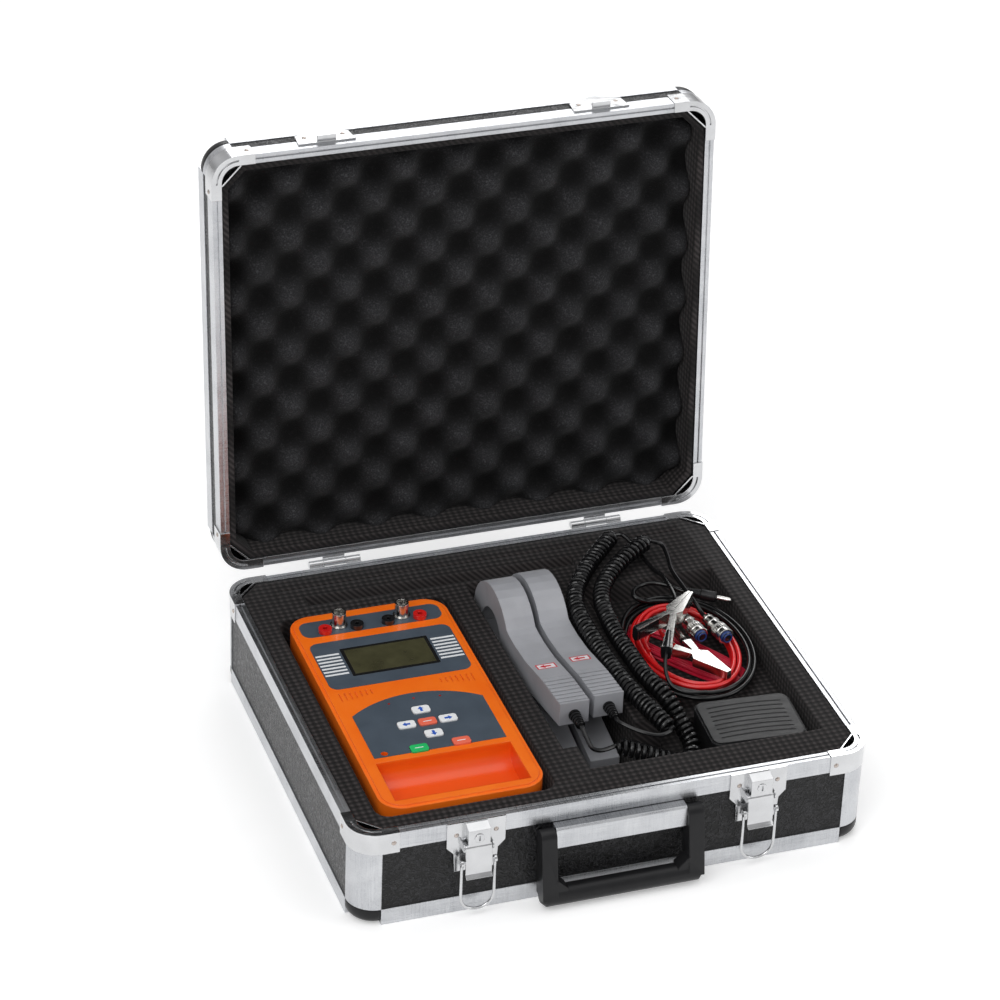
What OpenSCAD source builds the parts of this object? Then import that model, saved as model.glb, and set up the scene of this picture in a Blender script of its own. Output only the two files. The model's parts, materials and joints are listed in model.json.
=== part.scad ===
/* [Case] */
// Width of the case, left to right
case_w = 440; // [420:1:470]
// Depth of the case, front to back
case_d = 382; // [370:1:410]
// Height of the lower half, from the table to the top of its corner clips
base_h = 89; // [86:1:98]
// Depth of the lid, from its corner clips to its outer face
lid_h = 44; // [42:1:52]
// Radius of the case's upright corners
corner_r = 23; // [21:1:26]
// Thickness of the ABS panels
panel_t = 3; // [2.5:0.5:3.5]
// How far the panels lie behind the faces of the extrusions
panel_inset = 0.8; // [0.4:0.2:1.4]
// Height of the rim extrusion's outer face
rim_h = 15.5; // [13:0.5:18]
// Width of the rim extrusion across its top
rim_t = 8; // [7:0.5:9]
// Wall of the aluminium extrusions
ext_t = 2; // [1.5:0.1:2.4]
// Height of the edge extrusion's outer face
frame_h = 15; // [13:0.5:18]
// Width of the edge extrusion's flat flange
frame_flange = 18; // [14:1:20]
// Thickness of the pressed corner clips
clip_t = 0.8; // [0.6:0.1:1.2]
// Length of a corner clip's leg past the rounded corner
clip_leg = 14; // [10:1:20]
// Height of a corner clip's outer wall
clip_h = 19; // [17:1:22]
// Diameter of a rivet head
rivet_d = 4.2; // [3.6:0.2:5]
// Height of a rivet head
rivet_h = 0.9; // [0.5:0.1:1.4]
// Gap between the two halves when the lid is shut
lid_gap = 0.5; // [0.4:0.1:1.5]
// Angle of the open lid
lid_angle = 94.4; // [90:0.2:100]

/* [Hinges] */
// Distance of the hinge axis behind the back face
hinge_back = 5.5; // [5:0.1:7]
// Distance of the hinge axis from the top of the lower half
hinge_drop = 0.2; // [0:0.1:1]
// Radius of a hinge knuckle
hinge_knuckle_r = 3.2; // [2.8:0.1:3.6]
// Radius of a hinge pin
hinge_pin_r = 1.5; // [1.2:0.1:1.8]
// Width of a hinge
hinge_w = 46; // [36:1:60]
// Distance of each hinge from the middle of the case
hinge_x = 120; // [90:1:150]
// Height of a hinge leaf
hinge_leaf_h = 24; // [18:1:30]
// Thickness of a hinge leaf
hinge_leaf_t = 1.2; // [1:0.1:1.6]

/* [Latches and handle] */
// Distance of each latch from the middle of the case
latch_x = 120; // [100:1:150]
// Width of a latch plate at the rim
latch_w = 49; // [44:1:56]
// Width of a latch plate at its foot
latch_foot_w = 35; // [33:1:40]
// Height of a latch plate
latch_h = 47; // [42:1:52]
// Thickness of a latch plate
latch_t = 1.4; // [1:0.1:2]
// Width of the lock housing
lock_w = 18.5; // [16:0.5:21]
// How far the lock housing stands out of its plate
lock_out = 8; // [6:0.5:10]
// Width of a latch lever
lever_w = 22; // [20:0.5:23]
// Length of a latch lever below its pin
lever_l = 27; // [24:1:30]
// Diameter of the bail's wire
bail_d = 2.6; // [2.2:0.1:3]
// Length of the bail, pin to loop
bail_l = 47; // [40:1:48]
// Width of the handle over its arms
handle_w = 138; // [130:1:150]
// Length of the handle from its pins to the middle of its grip
handle_l = 53; // [48:1:54]
// Thickness of the handle's grip
grip_d = 17; // [15:0.5:18]
// Width of a handle arm
arm_w = 13; // [11:0.5:14]
// Height of the handle's bracket
bracket_h = 19; // [17:0.5:21]

/* [Foam] */
// How far the tray's top lies under the corner clips
foam_drop = 1.5; // [1:0.5:4]
// Clearance between foam and what holds it
foam_gap = 0.3; // [0.2:0.1:0.5]
// Thickness of the lid's lining strips
lining_t = 5.5; // [4:0.5:7]
// Distance between the bumps of the egg-crate foam along a row
bump_pitch = 50; // [44:1:56]
// Depth of the egg-crate foam from bump to hollow
bump_depth = 18; // [12:1:20]
// Thickness of the egg-crate foam in its hollows
crate_t = 10.7; // [8:0.1:12]

/* [Tester] */
// Width of the tester
tester_w = 138; // [132:1:142]
// Length of the tester
tester_l = 282; // [272:1:286]
// Height of the tester's body
tester_h = 46; // [42:1:50]
// Height of the tester's face above the corner clips
tester_rise = 2.6; // [2:0.1:5]
// Radius of the tester's corners
tester_r = 20; // [16:1:24]
// Thickness of the printed overlays
overlay_t = 0.4; // [0.3:0.1:0.8]
// Width of a key
key_w = 15; // [13:0.5:16]
// Length of a key along the tester
key_l = 9.5; // [8:0.5:10.5]
// Height of a key above the overlay
key_rise = 1; // [0.8:0.1:1.4]
// Travel of a key
key_travel = 0.5; // [0.4:0.1:0.6]
// Diameter of a test jack's collar
jack_d = 11.4; // [10.5:0.1:12.5]
// Bore of a test jack
jack_bore_d = 4.1; // [4:0.1:4.4]
// Diameter of an aviation socket's thread
socket_d = 12; // [11.5:0.1:14]
// Height of an aviation socket
socket_h = 13; // [11:0.5:15]

/* [Clamps] */
// Width of a clamp
clamp_w = 25.5; // [23:0.5:26]
// Outer radius of the clamp's head
head_r = 48; // [46:0.5:49]
// Radius of the clamp's jaw opening
jaw_r = 26; // [24:0.5:28]
// Distance from the clamp's pivot to the middle of its jaws
pivot_back = 60; // [58:1:62]
// Distance from the clamp's pivot to its rear end
clamp_rear = 110; // [104:1:112]
// Radius of the clamp's pivot boss
boss_r = 10; // [9:0.5:11]
// Radius of the clamp's pivot pin
clamp_pin_r = 2.5; // [2:0.1:3]
// Number of grip ribs on a lever
rib_count = 12; // [8:1:14]

/* [Cords] */
// Diameter of the clamps' cords
cord_d = 3.8; // [3.4:0.1:4]
// Outer diameter of the curly stretches
curl_d = 17; // [16:0.5:17]
// Diameter of the test leads
lead_d = 4; // [3.4:0.1:4.2]
// Diameter of the thin earth wire
thin_d = 2.6; // [2.2:0.1:2.8]

/* [Charger and rod] */
// Width of the charger
charger_w = 82; // [78:1:84]
// Length of the charger along the case
charger_l = 62; // [58:1:64]
// Height of the charger
charger_h = 30; // [26:1:31]
// Diameter of the earth rod
rod_d = 12; // [10:0.5:13]
// Length of the earth rod
rod_l = 236; // [220:1:240]

/* [Hidden] */
$fn = 48;

// Overrun of every cut
over = 1;
half_w = case_w / 2;
half_d = case_d / 2;
// Top faces of the rim extrusions, under the clips
rim_z = base_h - clip_t;
// Straight length between the rounded corners
run_x = case_w - 2 * corner_r;
run_y = case_d - 2 * corner_r;

// Groove and lip of the rim extrusion
rim_top_t = 2.2;
groove_w = 1.4;
groove_depth = 1.4;
groove_u = 3.2;
lip_t = 1.2;
lip_h = 6;
brace_t = 1.2;
brace_h = 5;
// Where the brace crosses the inside of a corner, as a share of its inner radius
brace_share = 0.575;
brace_reach = (corner_r - rim_t) * 0.78;
// Rounded lower edge of a corner cap
cap_round = 9;
cap_wall = 11;

// A centred rectangle with round corners
module round_rect(w, d, r) {
    square([w - 2 * r, d], center = true);
    square([w, d - 2 * r], center = true);
    for (sx = [-1, 1], sy = [-1, 1])
        translate([sx * (w / 2 - r), sy * (d / 2 - r)]) circle(r);
}

// A block with round upright corners, standing on z = 0
module round_block(w, d, h, r) {
    linear_extrude(h) round_rect(w, d, r);
}

// Puts its children at the middle of each side, turned so that +y points inwards
module sides() {
    translate([0, -half_d, 0]) children(0);
    rotate(180) translate([0, -half_d, 0]) children(0);
    rotate(90) translate([0, -half_w, 0]) children(1);
    rotate(-90) translate([0, -half_w, 0]) children(1);
}

// Puts its child at each corner's centre of curvature, corner towards -x and -y
module corners() {
    for (sx = [0, 1], sy = [0, 1])
        mirror([sx, 0, 0])
            mirror([0, sy, 0])
                translate([corner_r - half_w, corner_r - half_d, 0]) children();
}

// Keeps the quarter of its children that lies towards -x and -y
module quarter(h) {
    intersection() {
        children();
        translate([-corner_r - over, -corner_r - over, -over])
            cube([corner_r + over, corner_r + over, h + 2 * over]);
    }
}

// One length of rim extrusion
module rim_bar(l) {
    rotate([90, 0, 90])
        translate([0, 0, -l / 2])
            linear_extrude(l)
                polygon([[0, rim_z - rim_h], [ext_t, rim_z - rim_h], [ext_t, rim_z - rim_top_t],
                    [rim_t - lip_t, rim_z - rim_top_t], [rim_t - lip_t, rim_z - lip_h],
                    [rim_t, rim_z - lip_h], [rim_t, rim_z], [groove_u + groove_w, rim_z],
                    [groove_u + groove_w, rim_z - groove_depth],
                    [groove_u, rim_z - groove_depth], [groove_u, rim_z], [0, rim_z]]);
}

module shell_rim() {
    sides() {
        rim_bar(run_x);
        rim_bar(run_y);
    }
}

// Edge extrusion, an angle with a flat flange
module frame_bar(l) {
    rotate([90, 0, 90])
        translate([0, 0, -l / 2])
            linear_extrude(l)
                polygon([[0, 0], [frame_flange, 0], [frame_flange, ext_t], [ext_t, ext_t],
                    [ext_t, frame_h], [0, frame_h]]);
}

module shell_frame(h) {
    sides() {
        frame_bar(run_x);
        frame_bar(run_y);
    }
    corners()
        quarter(h)
            translate([0, 0, frame_h])
                difference() {
                    cylinder(r = corner_r, h = h - clip_h - frame_h);
                    translate([0, 0, -over])
                        cylinder(r = corner_r - ext_t, h = h);
                }
}

module wall_panel(l, h) {
    translate([-l / 2, panel_inset, frame_h])
        cube([l, panel_t, h - clip_t - rim_h - frame_h]);
}

module shell_panels(h) {
    sides() {
        wall_panel(run_x, h);
        wall_panel(run_y, h);
    }
    translate([frame_flange - half_w, frame_flange - half_d, 0])
        cube([case_w - 2 * frame_flange, case_d - 2 * frame_flange, panel_t]);
}

// Pressed clip over one rounded corner of the rim
module corner_clip(h) {
    quarter(h) {
        translate([0, 0, h - clip_h])
            difference() {
                cylinder(r = corner_r + clip_t, h = clip_h);
                translate([0, 0, -over])
                    cylinder(r = corner_r - ext_t, h = clip_h + 2 * over);
            }
        translate([0, 0, h - rim_top_t])
            difference() {
                cylinder(r = corner_r, h = rim_top_t);
                translate([0, 0, -over])
                    cylinder(r = corner_r - rim_t, h = rim_top_t + 2 * over);
                translate([0, 0, rim_top_t - groove_depth])
                    difference() {
                        cylinder(r = corner_r - groove_u, h = groove_depth + over);
                        translate([0, 0, -over])
                            cylinder(r = corner_r - groove_u - groove_w,
                                h = groove_depth + 3 * over);
                    }
            }
    }
    // Legs over the ends of the two rim extrusions
    for (turn = [0, 1])
        mirror([turn, -turn, 0]) {
            translate([0, -corner_r - clip_t, h - clip_h])
                cube([clip_leg, clip_t, clip_h]);
            translate([0, -corner_r, h - clip_t])
                cube([clip_leg, rim_t, clip_t]);
        }
    // Diagonal brace inside the corner
    brace_d = (corner_r - rim_t) * brace_share;
    translate([0, 0, h - rim_top_t - brace_h])
        rotate(225)
            translate([brace_d, -brace_reach, 0])
                cube([brace_t, 2 * brace_reach, brace_h + rim_top_t]);
}

module shell_clips(h) {
    corners() corner_clip(h);
}

// Moulded cap with a rounded lower edge
module corner_cap() {
    quarter(frame_h)
        rotate_extrude()
            polygon(concat(
                [[corner_r - cap_wall, frame_h], [corner_r - cap_wall, 0]],
                [for (a = [-90 : 15 : 0])
                    [corner_r - cap_round + cap_round * cos(a), cap_round + cap_round * sin(a)]],
                [[corner_r, frame_h]]));
}

module shell_caps() {
    corners() corner_cap();
}

// A round rivet head on a face that points to -y
module rivet() {
    rotate([90, 0, 0])
        intersection() {
            cylinder(d = rivet_d, h = rivet_h);
            translate([0, 0, rivet_h - rivet_ball_r]) sphere(rivet_ball_r);
        }
}
rivet_ball_r = (pow(rivet_d / 2, 2) + pow(rivet_h, 2)) / (2 * rivet_h);
rivet_edge = 5;

module clip_rivets(h) {
    rivet_z = h - clip_h / 2;
    corners()
        for (turn = [0, 1])
            mirror([turn, -turn, 0])
                translate([clip_leg - rivet_edge, -corner_r - clip_t, rivet_z]) rivet();
}

// The lid is drawn shut, upside down on the lower half, and then swung open
lid_z = base_h + lid_gap;
hinge_z = base_h - hinge_drop;
module open_lid() {
    translate([0, half_d + hinge_back, hinge_z])
        rotate([-lid_angle, 0, 0])
            translate([0, -half_d - hinge_back, -hinge_z]) children();
}
module lid_place() {
    open_lid()
        translate([0, 0, lid_z + lid_h])
            mirror([0, 0, 1]) children();
}
// Shifts what is drawn for the lower half's height to the lid's depth
module for_lid() {
    translate([0, 0, lid_h - base_h]) children();
}

module base_rim() {
    color("gainsboro") shell_rim();
}
module base_frame() {
    color("gainsboro") shell_frame(base_h);
}
module base_panels() {
    color("#222226") shell_panels(base_h);
}
module base_corner_clips() {
    color("silver") shell_clips(base_h);
}
module base_corner_caps() {
    color("#18181a") shell_caps();
}
module lid_rim() {
    color("gainsboro") lid_place() for_lid() shell_rim();
}
module lid_frame() {
    color("gainsboro") lid_place() shell_frame(lid_h);
}
module lid_panels() {
    color("#222226") lid_place() shell_panels(lid_h);
}
module lid_corner_clips() {
    color("silver") lid_place() shell_clips(lid_h);
}
module lid_corner_caps() {
    color("#18181a") lid_place() shell_caps();
}

// Hinges: the lower leaf's knuckles stand at both ends and hold the pin
knuckle_share = 0.28;
hinge_fit = 0.05;
hinge_side_gap = 0.3;
module knuckle(from, to, r) {
    translate([from, half_d + hinge_back, hinge_z])
        rotate([0, 90, 0]) cylinder(r = r, h = to - from);
}
// Flat strap from the back face to the knuckle, with its leaf
module hinge_strap(from, to, up) {
    leaf_z = up > 0 ? lid_z + clip_t : rim_z - hinge_leaf_h;
    translate([from, half_d, leaf_z])
        cube([to - from, hinge_leaf_t, hinge_leaf_h]);
    web_t = hinge_knuckle_r * hinge_web_share;
    web_z = up > 0 ? lid_z + clip_t : rim_z - web_t;
    translate([from, half_d, web_z])
        cube([to - from, hinge_back, web_t]);
}
hinge_web_share = 0.5;
end_w = hinge_w * knuckle_share;

module base_hinge_leaves() {
    color("silver")
        for (side = [-1, 1])
            translate([side * hinge_x - hinge_w / 2, 0, 0]) {
                for (from = [0, hinge_w - end_w]) {
                    hinge_strap(from, from + end_w, -1);
                    knuckle(from, from + end_w, hinge_knuckle_r);
                }
                translate([0, half_d, rim_z - hinge_leaf_h])
                    cube([hinge_w, hinge_leaf_t, hinge_leaf_h - rim_h * hinge_web_share]);
                knuckle(0, hinge_w, hinge_pin_r);
            }
}
module lid_hinge_leaves() {
    mid_from = end_w + hinge_side_gap;
    mid_to = hinge_w - end_w - hinge_side_gap;
    color("silver")
        open_lid()
            for (side = [-1, 1])
                translate([side * hinge_x - hinge_w / 2, 0, 0])
                    difference() {
                        union() {
                            hinge_strap(mid_from, mid_to, 1);
                            knuckle(mid_from, mid_to, hinge_knuckle_r);
                        }
                        knuckle(0, hinge_w, hinge_pin_r + hinge_fit);
                    }
}

// Latches, drawn at x = 0 against the front face
latch_top = rim_z;
latch_kink = 23;
lock_top = 4;
lock_h = 15;
keyhole_r = 4;
keyhole_out = 0.8;
key_slot_w = 1.4;
lever_pin_r = 1.2;
lever_pin_out = 5.4;
lever_pin_z = rim_z - 21.5;
lever_knuckle_r = 2.4;
lever_fit = 0.05;
lever_side_gap = 0.35;
lever_t = 1.6;
ear_t = 1;
ear_r = 3.4;
bail_pin_drop = 13;
bail_pin_r = 1.3;
bail_eye_r = 3;
bail_eye_t = 2.2;
bail_pin_out = 7.2;
bail_gap = 0.3;
bail_x = lever_w / 2 + lever_side_gap + ear_t + bail_gap + bail_d / 2;
latch_rivet_x = 16.5;
latch_rivet_drop = 11.5;

module latch_plate() {
    front = -half_d - latch_t;
    difference() {
        union() {
            translate([0, -half_d, 0])
                rotate([90, 0, 0])
                    linear_extrude(latch_t)
                        polygon([[-latch_w / 2, latch_top], [-latch_w / 2, latch_top - latch_kink],
                            [-latch_foot_w / 2 - ear_t, latch_top - latch_kink * latch_taper_share],
                            [-latch_foot_w / 2, latch_top - latch_h],
                            [latch_foot_w / 2, latch_top - latch_h],
                            [latch_foot_w / 2 + ear_t, latch_top - latch_kink * latch_taper_share],
                            [latch_w / 2, latch_top - latch_kink], [latch_w / 2, latch_top]]);
            // Lock housing with a sloping top
            translate([-lock_w / 2, 0, 0])
                rotate([90, 0, 90])
                    linear_extrude(lock_w)
                        polygon([[-half_d, latch_top - lock_top * lock_slope_share],
                            [front, latch_top - lock_top * lock_slope_share],
                            [front - lock_out, latch_top - lock_top],
                            [front - lock_out, latch_top - lock_top - lock_h],
                            [front, latch_top - lock_top - lock_h],
                            [-half_d, latch_top - lock_top - lock_h]]);
            // Lock cylinder
            translate([0, front - lock_out, latch_top - lock_top - lock_h / 2])
                rotate([90, 0, 0]) cylinder(r = keyhole_r, h = keyhole_out);
            // Ears and pin that carry the lever
            for (side = [-1, 1])
                translate([side * (lever_w / 2 + lever_side_gap + ear_t / 2) - ear_t / 2,
                    front - lever_pin_out, lever_pin_z])
                    rotate([0, 90, 0]) {
                        cylinder(r = ear_r, h = ear_t);
                        translate([-ear_r, 0, 0])
                            cube([2 * ear_r, lever_pin_out, ear_t]);
                    }
            translate([-lever_w / 2 - lever_side_gap, front - lever_pin_out, lever_pin_z])
                rotate([0, 90, 0])
                    cylinder(r = lever_pin_r, h = lever_w + 2 * lever_side_gap);
        }
        translate([-key_slot_w / 2, front - lock_out - keyhole_out - over,
            latch_top - lock_top - lock_h / 2 - keyhole_r * key_slot_share])
            cube([key_slot_w, over + keyhole_out * 2, 2 * keyhole_r * key_slot_share]);
    }
}
latch_taper_share = 1.28;
lock_slope_share = 0.3;
key_slot_share = 0.6;

// Lever: a knuckle on its pin, a bulging plate and a lip
lever_bulge = 3.5;
lever_lip = 3;
module latch_lever() {
    pin_y = -half_d - latch_t - lever_pin_out;
    bend_z = lever_pin_z - lever_l * lever_bend_share;
    translate([-lever_w / 2, 0, 0])
        difference() {
            union() {
                rotate([90, 0, 90])
                    linear_extrude(lever_w)
                        polygon([[pin_y, lever_pin_z + lever_knuckle_r],
                            [pin_y - lever_knuckle_r, lever_pin_z],
                            [pin_y - lever_bulge, bend_z],
                            [pin_y - lever_bulge, lever_pin_z - lever_l + lever_lip],
                            [pin_y - lever_bulge - lever_lip, lever_pin_z - lever_l],
                            [pin_y - lever_bulge - lever_lip + lever_t, lever_pin_z - lever_l],
                            [pin_y - lever_bulge + lever_t, lever_pin_z - lever_l + lever_lip],
                            [pin_y - lever_bulge + lever_t, bend_z],
                            [pin_y, lever_pin_z - lever_knuckle_r]]);
                translate([0, pin_y, lever_pin_z])
                    rotate([0, 90, 0]) cylinder(r = lever_knuckle_r, h = lever_w);
                // Cross pin that carries the bail
                translate([-bail_pin_reach, pin_y + lever_pin_out - bail_pin_out,
                    lever_pin_z - bail_pin_drop])
                    rotate([0, 90, 0])
                        cylinder(r = bail_pin_r, h = lever_w + 2 * bail_pin_reach);
            }
            translate([-over, pin_y, lever_pin_z])
                rotate([0, 90, 0])
                    cylinder(r = lever_pin_r + lever_fit, h = lever_w + 2 * over);
        }
}
lever_bend_share = 0.35;
bail_pin_reach = bail_x + bail_eye_t / 2 + bail_gap - lever_w / 2;

// Bail: two eyes, two straight wires and a half-round loop
module latch_bail() {
    r = bail_x;
    eye_y = -half_d - latch_t - bail_pin_out;
    eye_z = lever_pin_z - bail_pin_drop;
    translate([0, eye_y, eye_z]) {
        for (side = [-1, 1])
            translate([side * bail_x, 0, 0]) {
                difference() {
                    union() {
                        translate([-bail_eye_t / 2, 0, 0])
                            rotate([0, 90, 0]) cylinder(r = bail_eye_r, h = bail_eye_t);
                        translate([0, 0, r - bail_l])
                            cylinder(d = bail_d, h = bail_l - r - bail_pin_r - bail_d / 2);
                    }
                    translate([-bail_eye_t, 0, 0])
                        rotate([0, 90, 0])
                            cylinder(r = bail_pin_r + lever_fit, h = 2 * bail_eye_t);
                }
            }
        translate([0, 0, r - bail_l])
            rotate([90, 0, 0])
                intersection() {
                    rotate_extrude() translate([r, 0]) circle(d = bail_d);
                    translate([-r - bail_d, -r - bail_d, -bail_d])
                        cube([2 * (r + bail_d), r + bail_d, 2 * bail_d]);
                }
    }
}

module latch_plates() {
    color("silver")
        for (side = [-1, 1])
            translate([side * latch_x, 0, 0]) latch_plate();
}
module left_latch_lever() {
    color("silver") translate([-latch_x, 0, 0]) latch_lever();
}
module right_latch_lever() {
    color("silver") translate([latch_x, 0, 0]) latch_lever();
}
module left_latch_bail() {
    color("silver") translate([-latch_x, 0, 0]) latch_bail();
}
module right_latch_bail() {
    color("silver") translate([latch_x, 0, 0]) latch_bail();
}

// Catch on the lid: plate, hooked ledge and rivets
catch_h = 24;
catch_from = 6;
catch_t = 1.4;
hook_w = 16;
hook_out = 5;
hook_h = 1.2;
hook_t = 1.6;
module lid_catches() {
    color("silver")
        open_lid()
            for (side = [-1, 1])
                translate([side * latch_x, -half_d, lid_z + clip_t + catch_from])
                    rotate([90, 0, 0]) {
                        linear_extrude(catch_t)
                            polygon([[-latch_w / 2, 0], [latch_w / 2, 0],
                                [latch_w / 2 - catch_t, catch_h * catch_shoulder_share],
                                [hook_w / 2 + catch_t, catch_h], [-hook_w / 2 - catch_t, catch_h],
                                [-latch_w / 2 + catch_t, catch_h * catch_shoulder_share]]);
                        translate([0, catch_h * catch_shoulder_share, 0])
                            cylinder(r = hook_w / 2 + catch_t, h = catch_t);
                        translate([-hook_w / 2, hook_h, catch_t])
                            cube([hook_w, hook_t, hook_out]);
                        translate([-hook_w / 2, hook_h, catch_t + hook_out - hook_t])
                            cube([hook_w, hook_h * hook_turn_share, hook_t]);
                    }
}
catch_shoulder_share = 0.72;
hook_turn_share = 0.55;

// Carry handle on its bracket, at the middle of the front
handle_side_gap = 0.4;
bracket_w = handle_w - 2 * arm_w - 2 * handle_side_gap;
bracket_drop = 0.6;
bracket_top = rim_z - rim_h - bracket_drop;
bracket_out = 11;
bracket_t = 1.6;
handle_pin_r = 3;
handle_pin_fit = 0.08;
handle_pin_out = 8;
handle_pin_y = -half_d + panel_inset - handle_pin_out;
handle_pin_drop = 8;
handle_pin_z = bracket_top - handle_pin_drop;
arm_r = 7;
pin_reach = 9;
module handle_bracket() {
    back = -half_d + panel_inset;
    color("gainsboro")
        translate([-bracket_w / 2, 0, 0])
            rotate([90, 0, 90])
                linear_extrude(bracket_w)
                    polygon([[back, bracket_top], [back - bracket_out + bracket_t, bracket_top],
                        [back - bracket_out, bracket_top - bracket_t],
                        [back - bracket_out, bracket_top - bracket_h],
                        [back - bracket_out + bracket_t, bracket_top - bracket_h],
                        [back - bracket_out + bracket_t, bracket_top - bracket_t],
                        [back - bracket_t, bracket_top - bracket_t],
                        [back - bracket_t, bracket_top - bracket_h],
                        [back, bracket_top - bracket_h]]);
    color("gray")
        for (side = [-1, 1])
            translate([side * (bracket_w / 2 + handle_side_gap / 2 + pin_reach / 2
                - handle_side_gap) - (pin_reach + handle_side_gap) / 2,
                handle_pin_y, handle_pin_z])
                rotate([0, 90, 0]) cylinder(r = handle_pin_r, h = pin_reach + handle_side_gap);
}

grip_end = 4;
bend_t = 12;
bend_fill = 9;
handle_lean = 8;
module carry_handle() {
    arm_in = handle_w / 2 - arm_w;
    bottom_z = handle_pin_z - handle_l;
    grip_y = handle_pin_y - handle_lean;
    color("#1c1c1f")
        difference() {
            union() {
                for (side = [-1, 1])
                    translate([side * (handle_w / 2 - arm_w / 2) - arm_w / 2, 0, 0]) {
                        translate([0, handle_pin_y, handle_pin_z])
                            rotate([0, 90, 0]) cylinder(r = arm_r, h = arm_w);
                        rotate([90, 0, 90])
                            linear_extrude(arm_w)
                                polygon([[handle_pin_y - arm_r, handle_pin_z],
                                    [grip_y - grip_d / 2, bottom_z],
                                    [grip_y + grip_d / 2, bottom_z],
                                    [handle_pin_y + arm_r, handle_pin_z]]);
                    }
                // Grip, with rounded ends and filled inner bends
                translate([grip_end - handle_w / 2, grip_y, bottom_z])
                    rotate([0, 90, 0]) cylinder(d = grip_d, h = handle_w - 2 * grip_end);
                for (side = [-1, 1])
                    translate([side * (handle_w / 2 - grip_end), grip_y, bottom_z])
                        rotate([0, side * 90, 0])
                            cylinder(r1 = grip_d / 2, r2 = grip_d / 2 - grip_end,
                                h = grip_end);
                translate([0, grip_y + bend_t / 2, bottom_z])
                    rotate([90, 0, 0])
                        linear_extrude(bend_t)
                            for (side = [-1, 1])
                                polygon([[side * (arm_in + over), 0],
                                    [side * (arm_in - bend_fill), 0],
                                    [side * (arm_in - bend_fill), grip_d / 2 + over / 4],
                                    [side * arm_in, bend_fill + grip_d / 2],
                                    [side * (arm_in + over), bend_fill + grip_d / 2]]);
            }
            for (side = [-1, 1])
                translate([side * (arm_in + pin_reach / 2) - (pin_reach + over) / 2,
                    handle_pin_y, handle_pin_z])
                    rotate([0, 90, 0])
                        cylinder(r = handle_pin_r + handle_pin_fit, h = pin_reach + over);
        }
}

module base_rivets() {
    color("#c08a66") {
        clip_rivets(base_h);
        for (side = [-1, 1], end = [-1, 1])
            translate([side * latch_x + end * latch_rivet_x, -half_d - latch_t,
                latch_top - latch_rivet_drop]) rivet();
    }
}
module lid_rivets() {
    color("#c08a66") {
        lid_place() clip_rivets(lid_h);
        open_lid()
            for (side = [-1, 1], end = [-1, 1])
                translate([side * latch_x + end * latch_rivet_x, -half_d - catch_t,
                    lid_z + clip_t + catch_from + catch_h / 2]) rivet();
    }
}

// Places in the tray, all measured from the middle of the case
foam_top = base_h - foam_drop;
foam_inset = rim_t + foam_gap;
foam_chamfer = (corner_r - rim_t) * 1.2;
tester_x = -case_w * 0.269;
tester_y = -case_d * 0.06;
tester_top = base_h + tester_rise;
tester_bottom = tester_top - tester_h;
pocket_side = 6;
pocket_end = 3.5;
clamp_gap = 5.5;
clamp_pair_x = case_w * 0.0295;
left_clamp_x = clamp_pair_x - (clamp_w + clamp_gap) / 2;
right_clamp_x = clamp_pair_x + (clamp_w + clamp_gap) / 2;
clamp_y = case_d * 0.0524;
right_clamp_shift = 3.4;
clamp_z = 67;
clamp_well_bottom = clamp_z - head_r - foam_gap;
clamp_well_x0 = left_clamp_x - clamp_w / 2 - pocket_side;
clamp_well_x1 = right_clamp_x + clamp_w / 2 + pocket_side;
clamp_well_y0 = clamp_y - clamp_rear - 28;
clamp_well_y1 = clamp_y + pivot_back + head_r + right_clamp_shift + 3;
cord_well_x1 = half_w - 28;
cord_well_x0 = cord_well_x1 - 120;
cord_well_y0 = -half_d + 41;
cord_well_y1 = 101;
trench_y1 = -100;
trench_floor = 58;
lead_floor = 67;
charger_floor = 54;
charger_y1 = cord_well_y0 + 70;
slot_w = rod_d + 1.2;
slot_y = case_d * 0.379;
slot_x0 = -160;
slot_depth = 30;
slit_w = 2;
slit_y = case_d * 0.436;
slit_x0 = -177;
slit_x1 = 184;
slit_depth = 45;

// A cut in the tray's top, given by its corners and its floor
module well(x0, x1, y0, y1, floor_z) {
    translate([x0, y0, floor_z])
        cube([x1 - x0, y1 - y0, base_h - floor_z + over]);
}

module base_foam() {
    fx = half_w - foam_inset;
    fy = half_d - foam_inset;
    c = foam_chamfer;
    color("#2c2c30")
        difference() {
            translate([0, 0, panel_t + foam_gap])
                linear_extrude(foam_top - panel_t - foam_gap)
                    polygon([[-fx + c, -fy], [fx - c, -fy], [fx, -fy + c], [fx, fy - c],
                        [fx - c, fy], [-fx + c, fy], [-fx, fy - c], [-fx, -fy + c]]);
            translate([tester_x, tester_y, tester_bottom - foam_gap])
                round_block(tester_w + 2 * pocket_side, tester_l + 2 * pocket_end,
                    tester_h + tester_rise, tester_r * tester_pocket_share);
            well(clamp_well_x0, clamp_well_x1, clamp_well_y0, clamp_well_y1, clamp_well_bottom);
            well(clamp_well_x0 + 2 * pocket_side, cord_well_x0 + over, cord_well_y0, trench_y1,
                trench_floor);
            well(cord_well_x0, cord_well_x1, charger_y1, cord_well_y1, lead_floor);
            well(cord_well_x0, cord_well_x1, cord_well_y0, charger_y1 + over, charger_floor);
            well(slot_x0, slot_x0 + rod_l + pocket_side, slot_y - slot_w / 2,
                slot_y + slot_w / 2, foam_top - slot_depth);
            well(slit_x0, slit_x1, slit_y - slit_w / 2, slit_y + slit_w / 2,
                foam_top - slit_depth);
        }
}
tester_pocket_share = 0.6;

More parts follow.
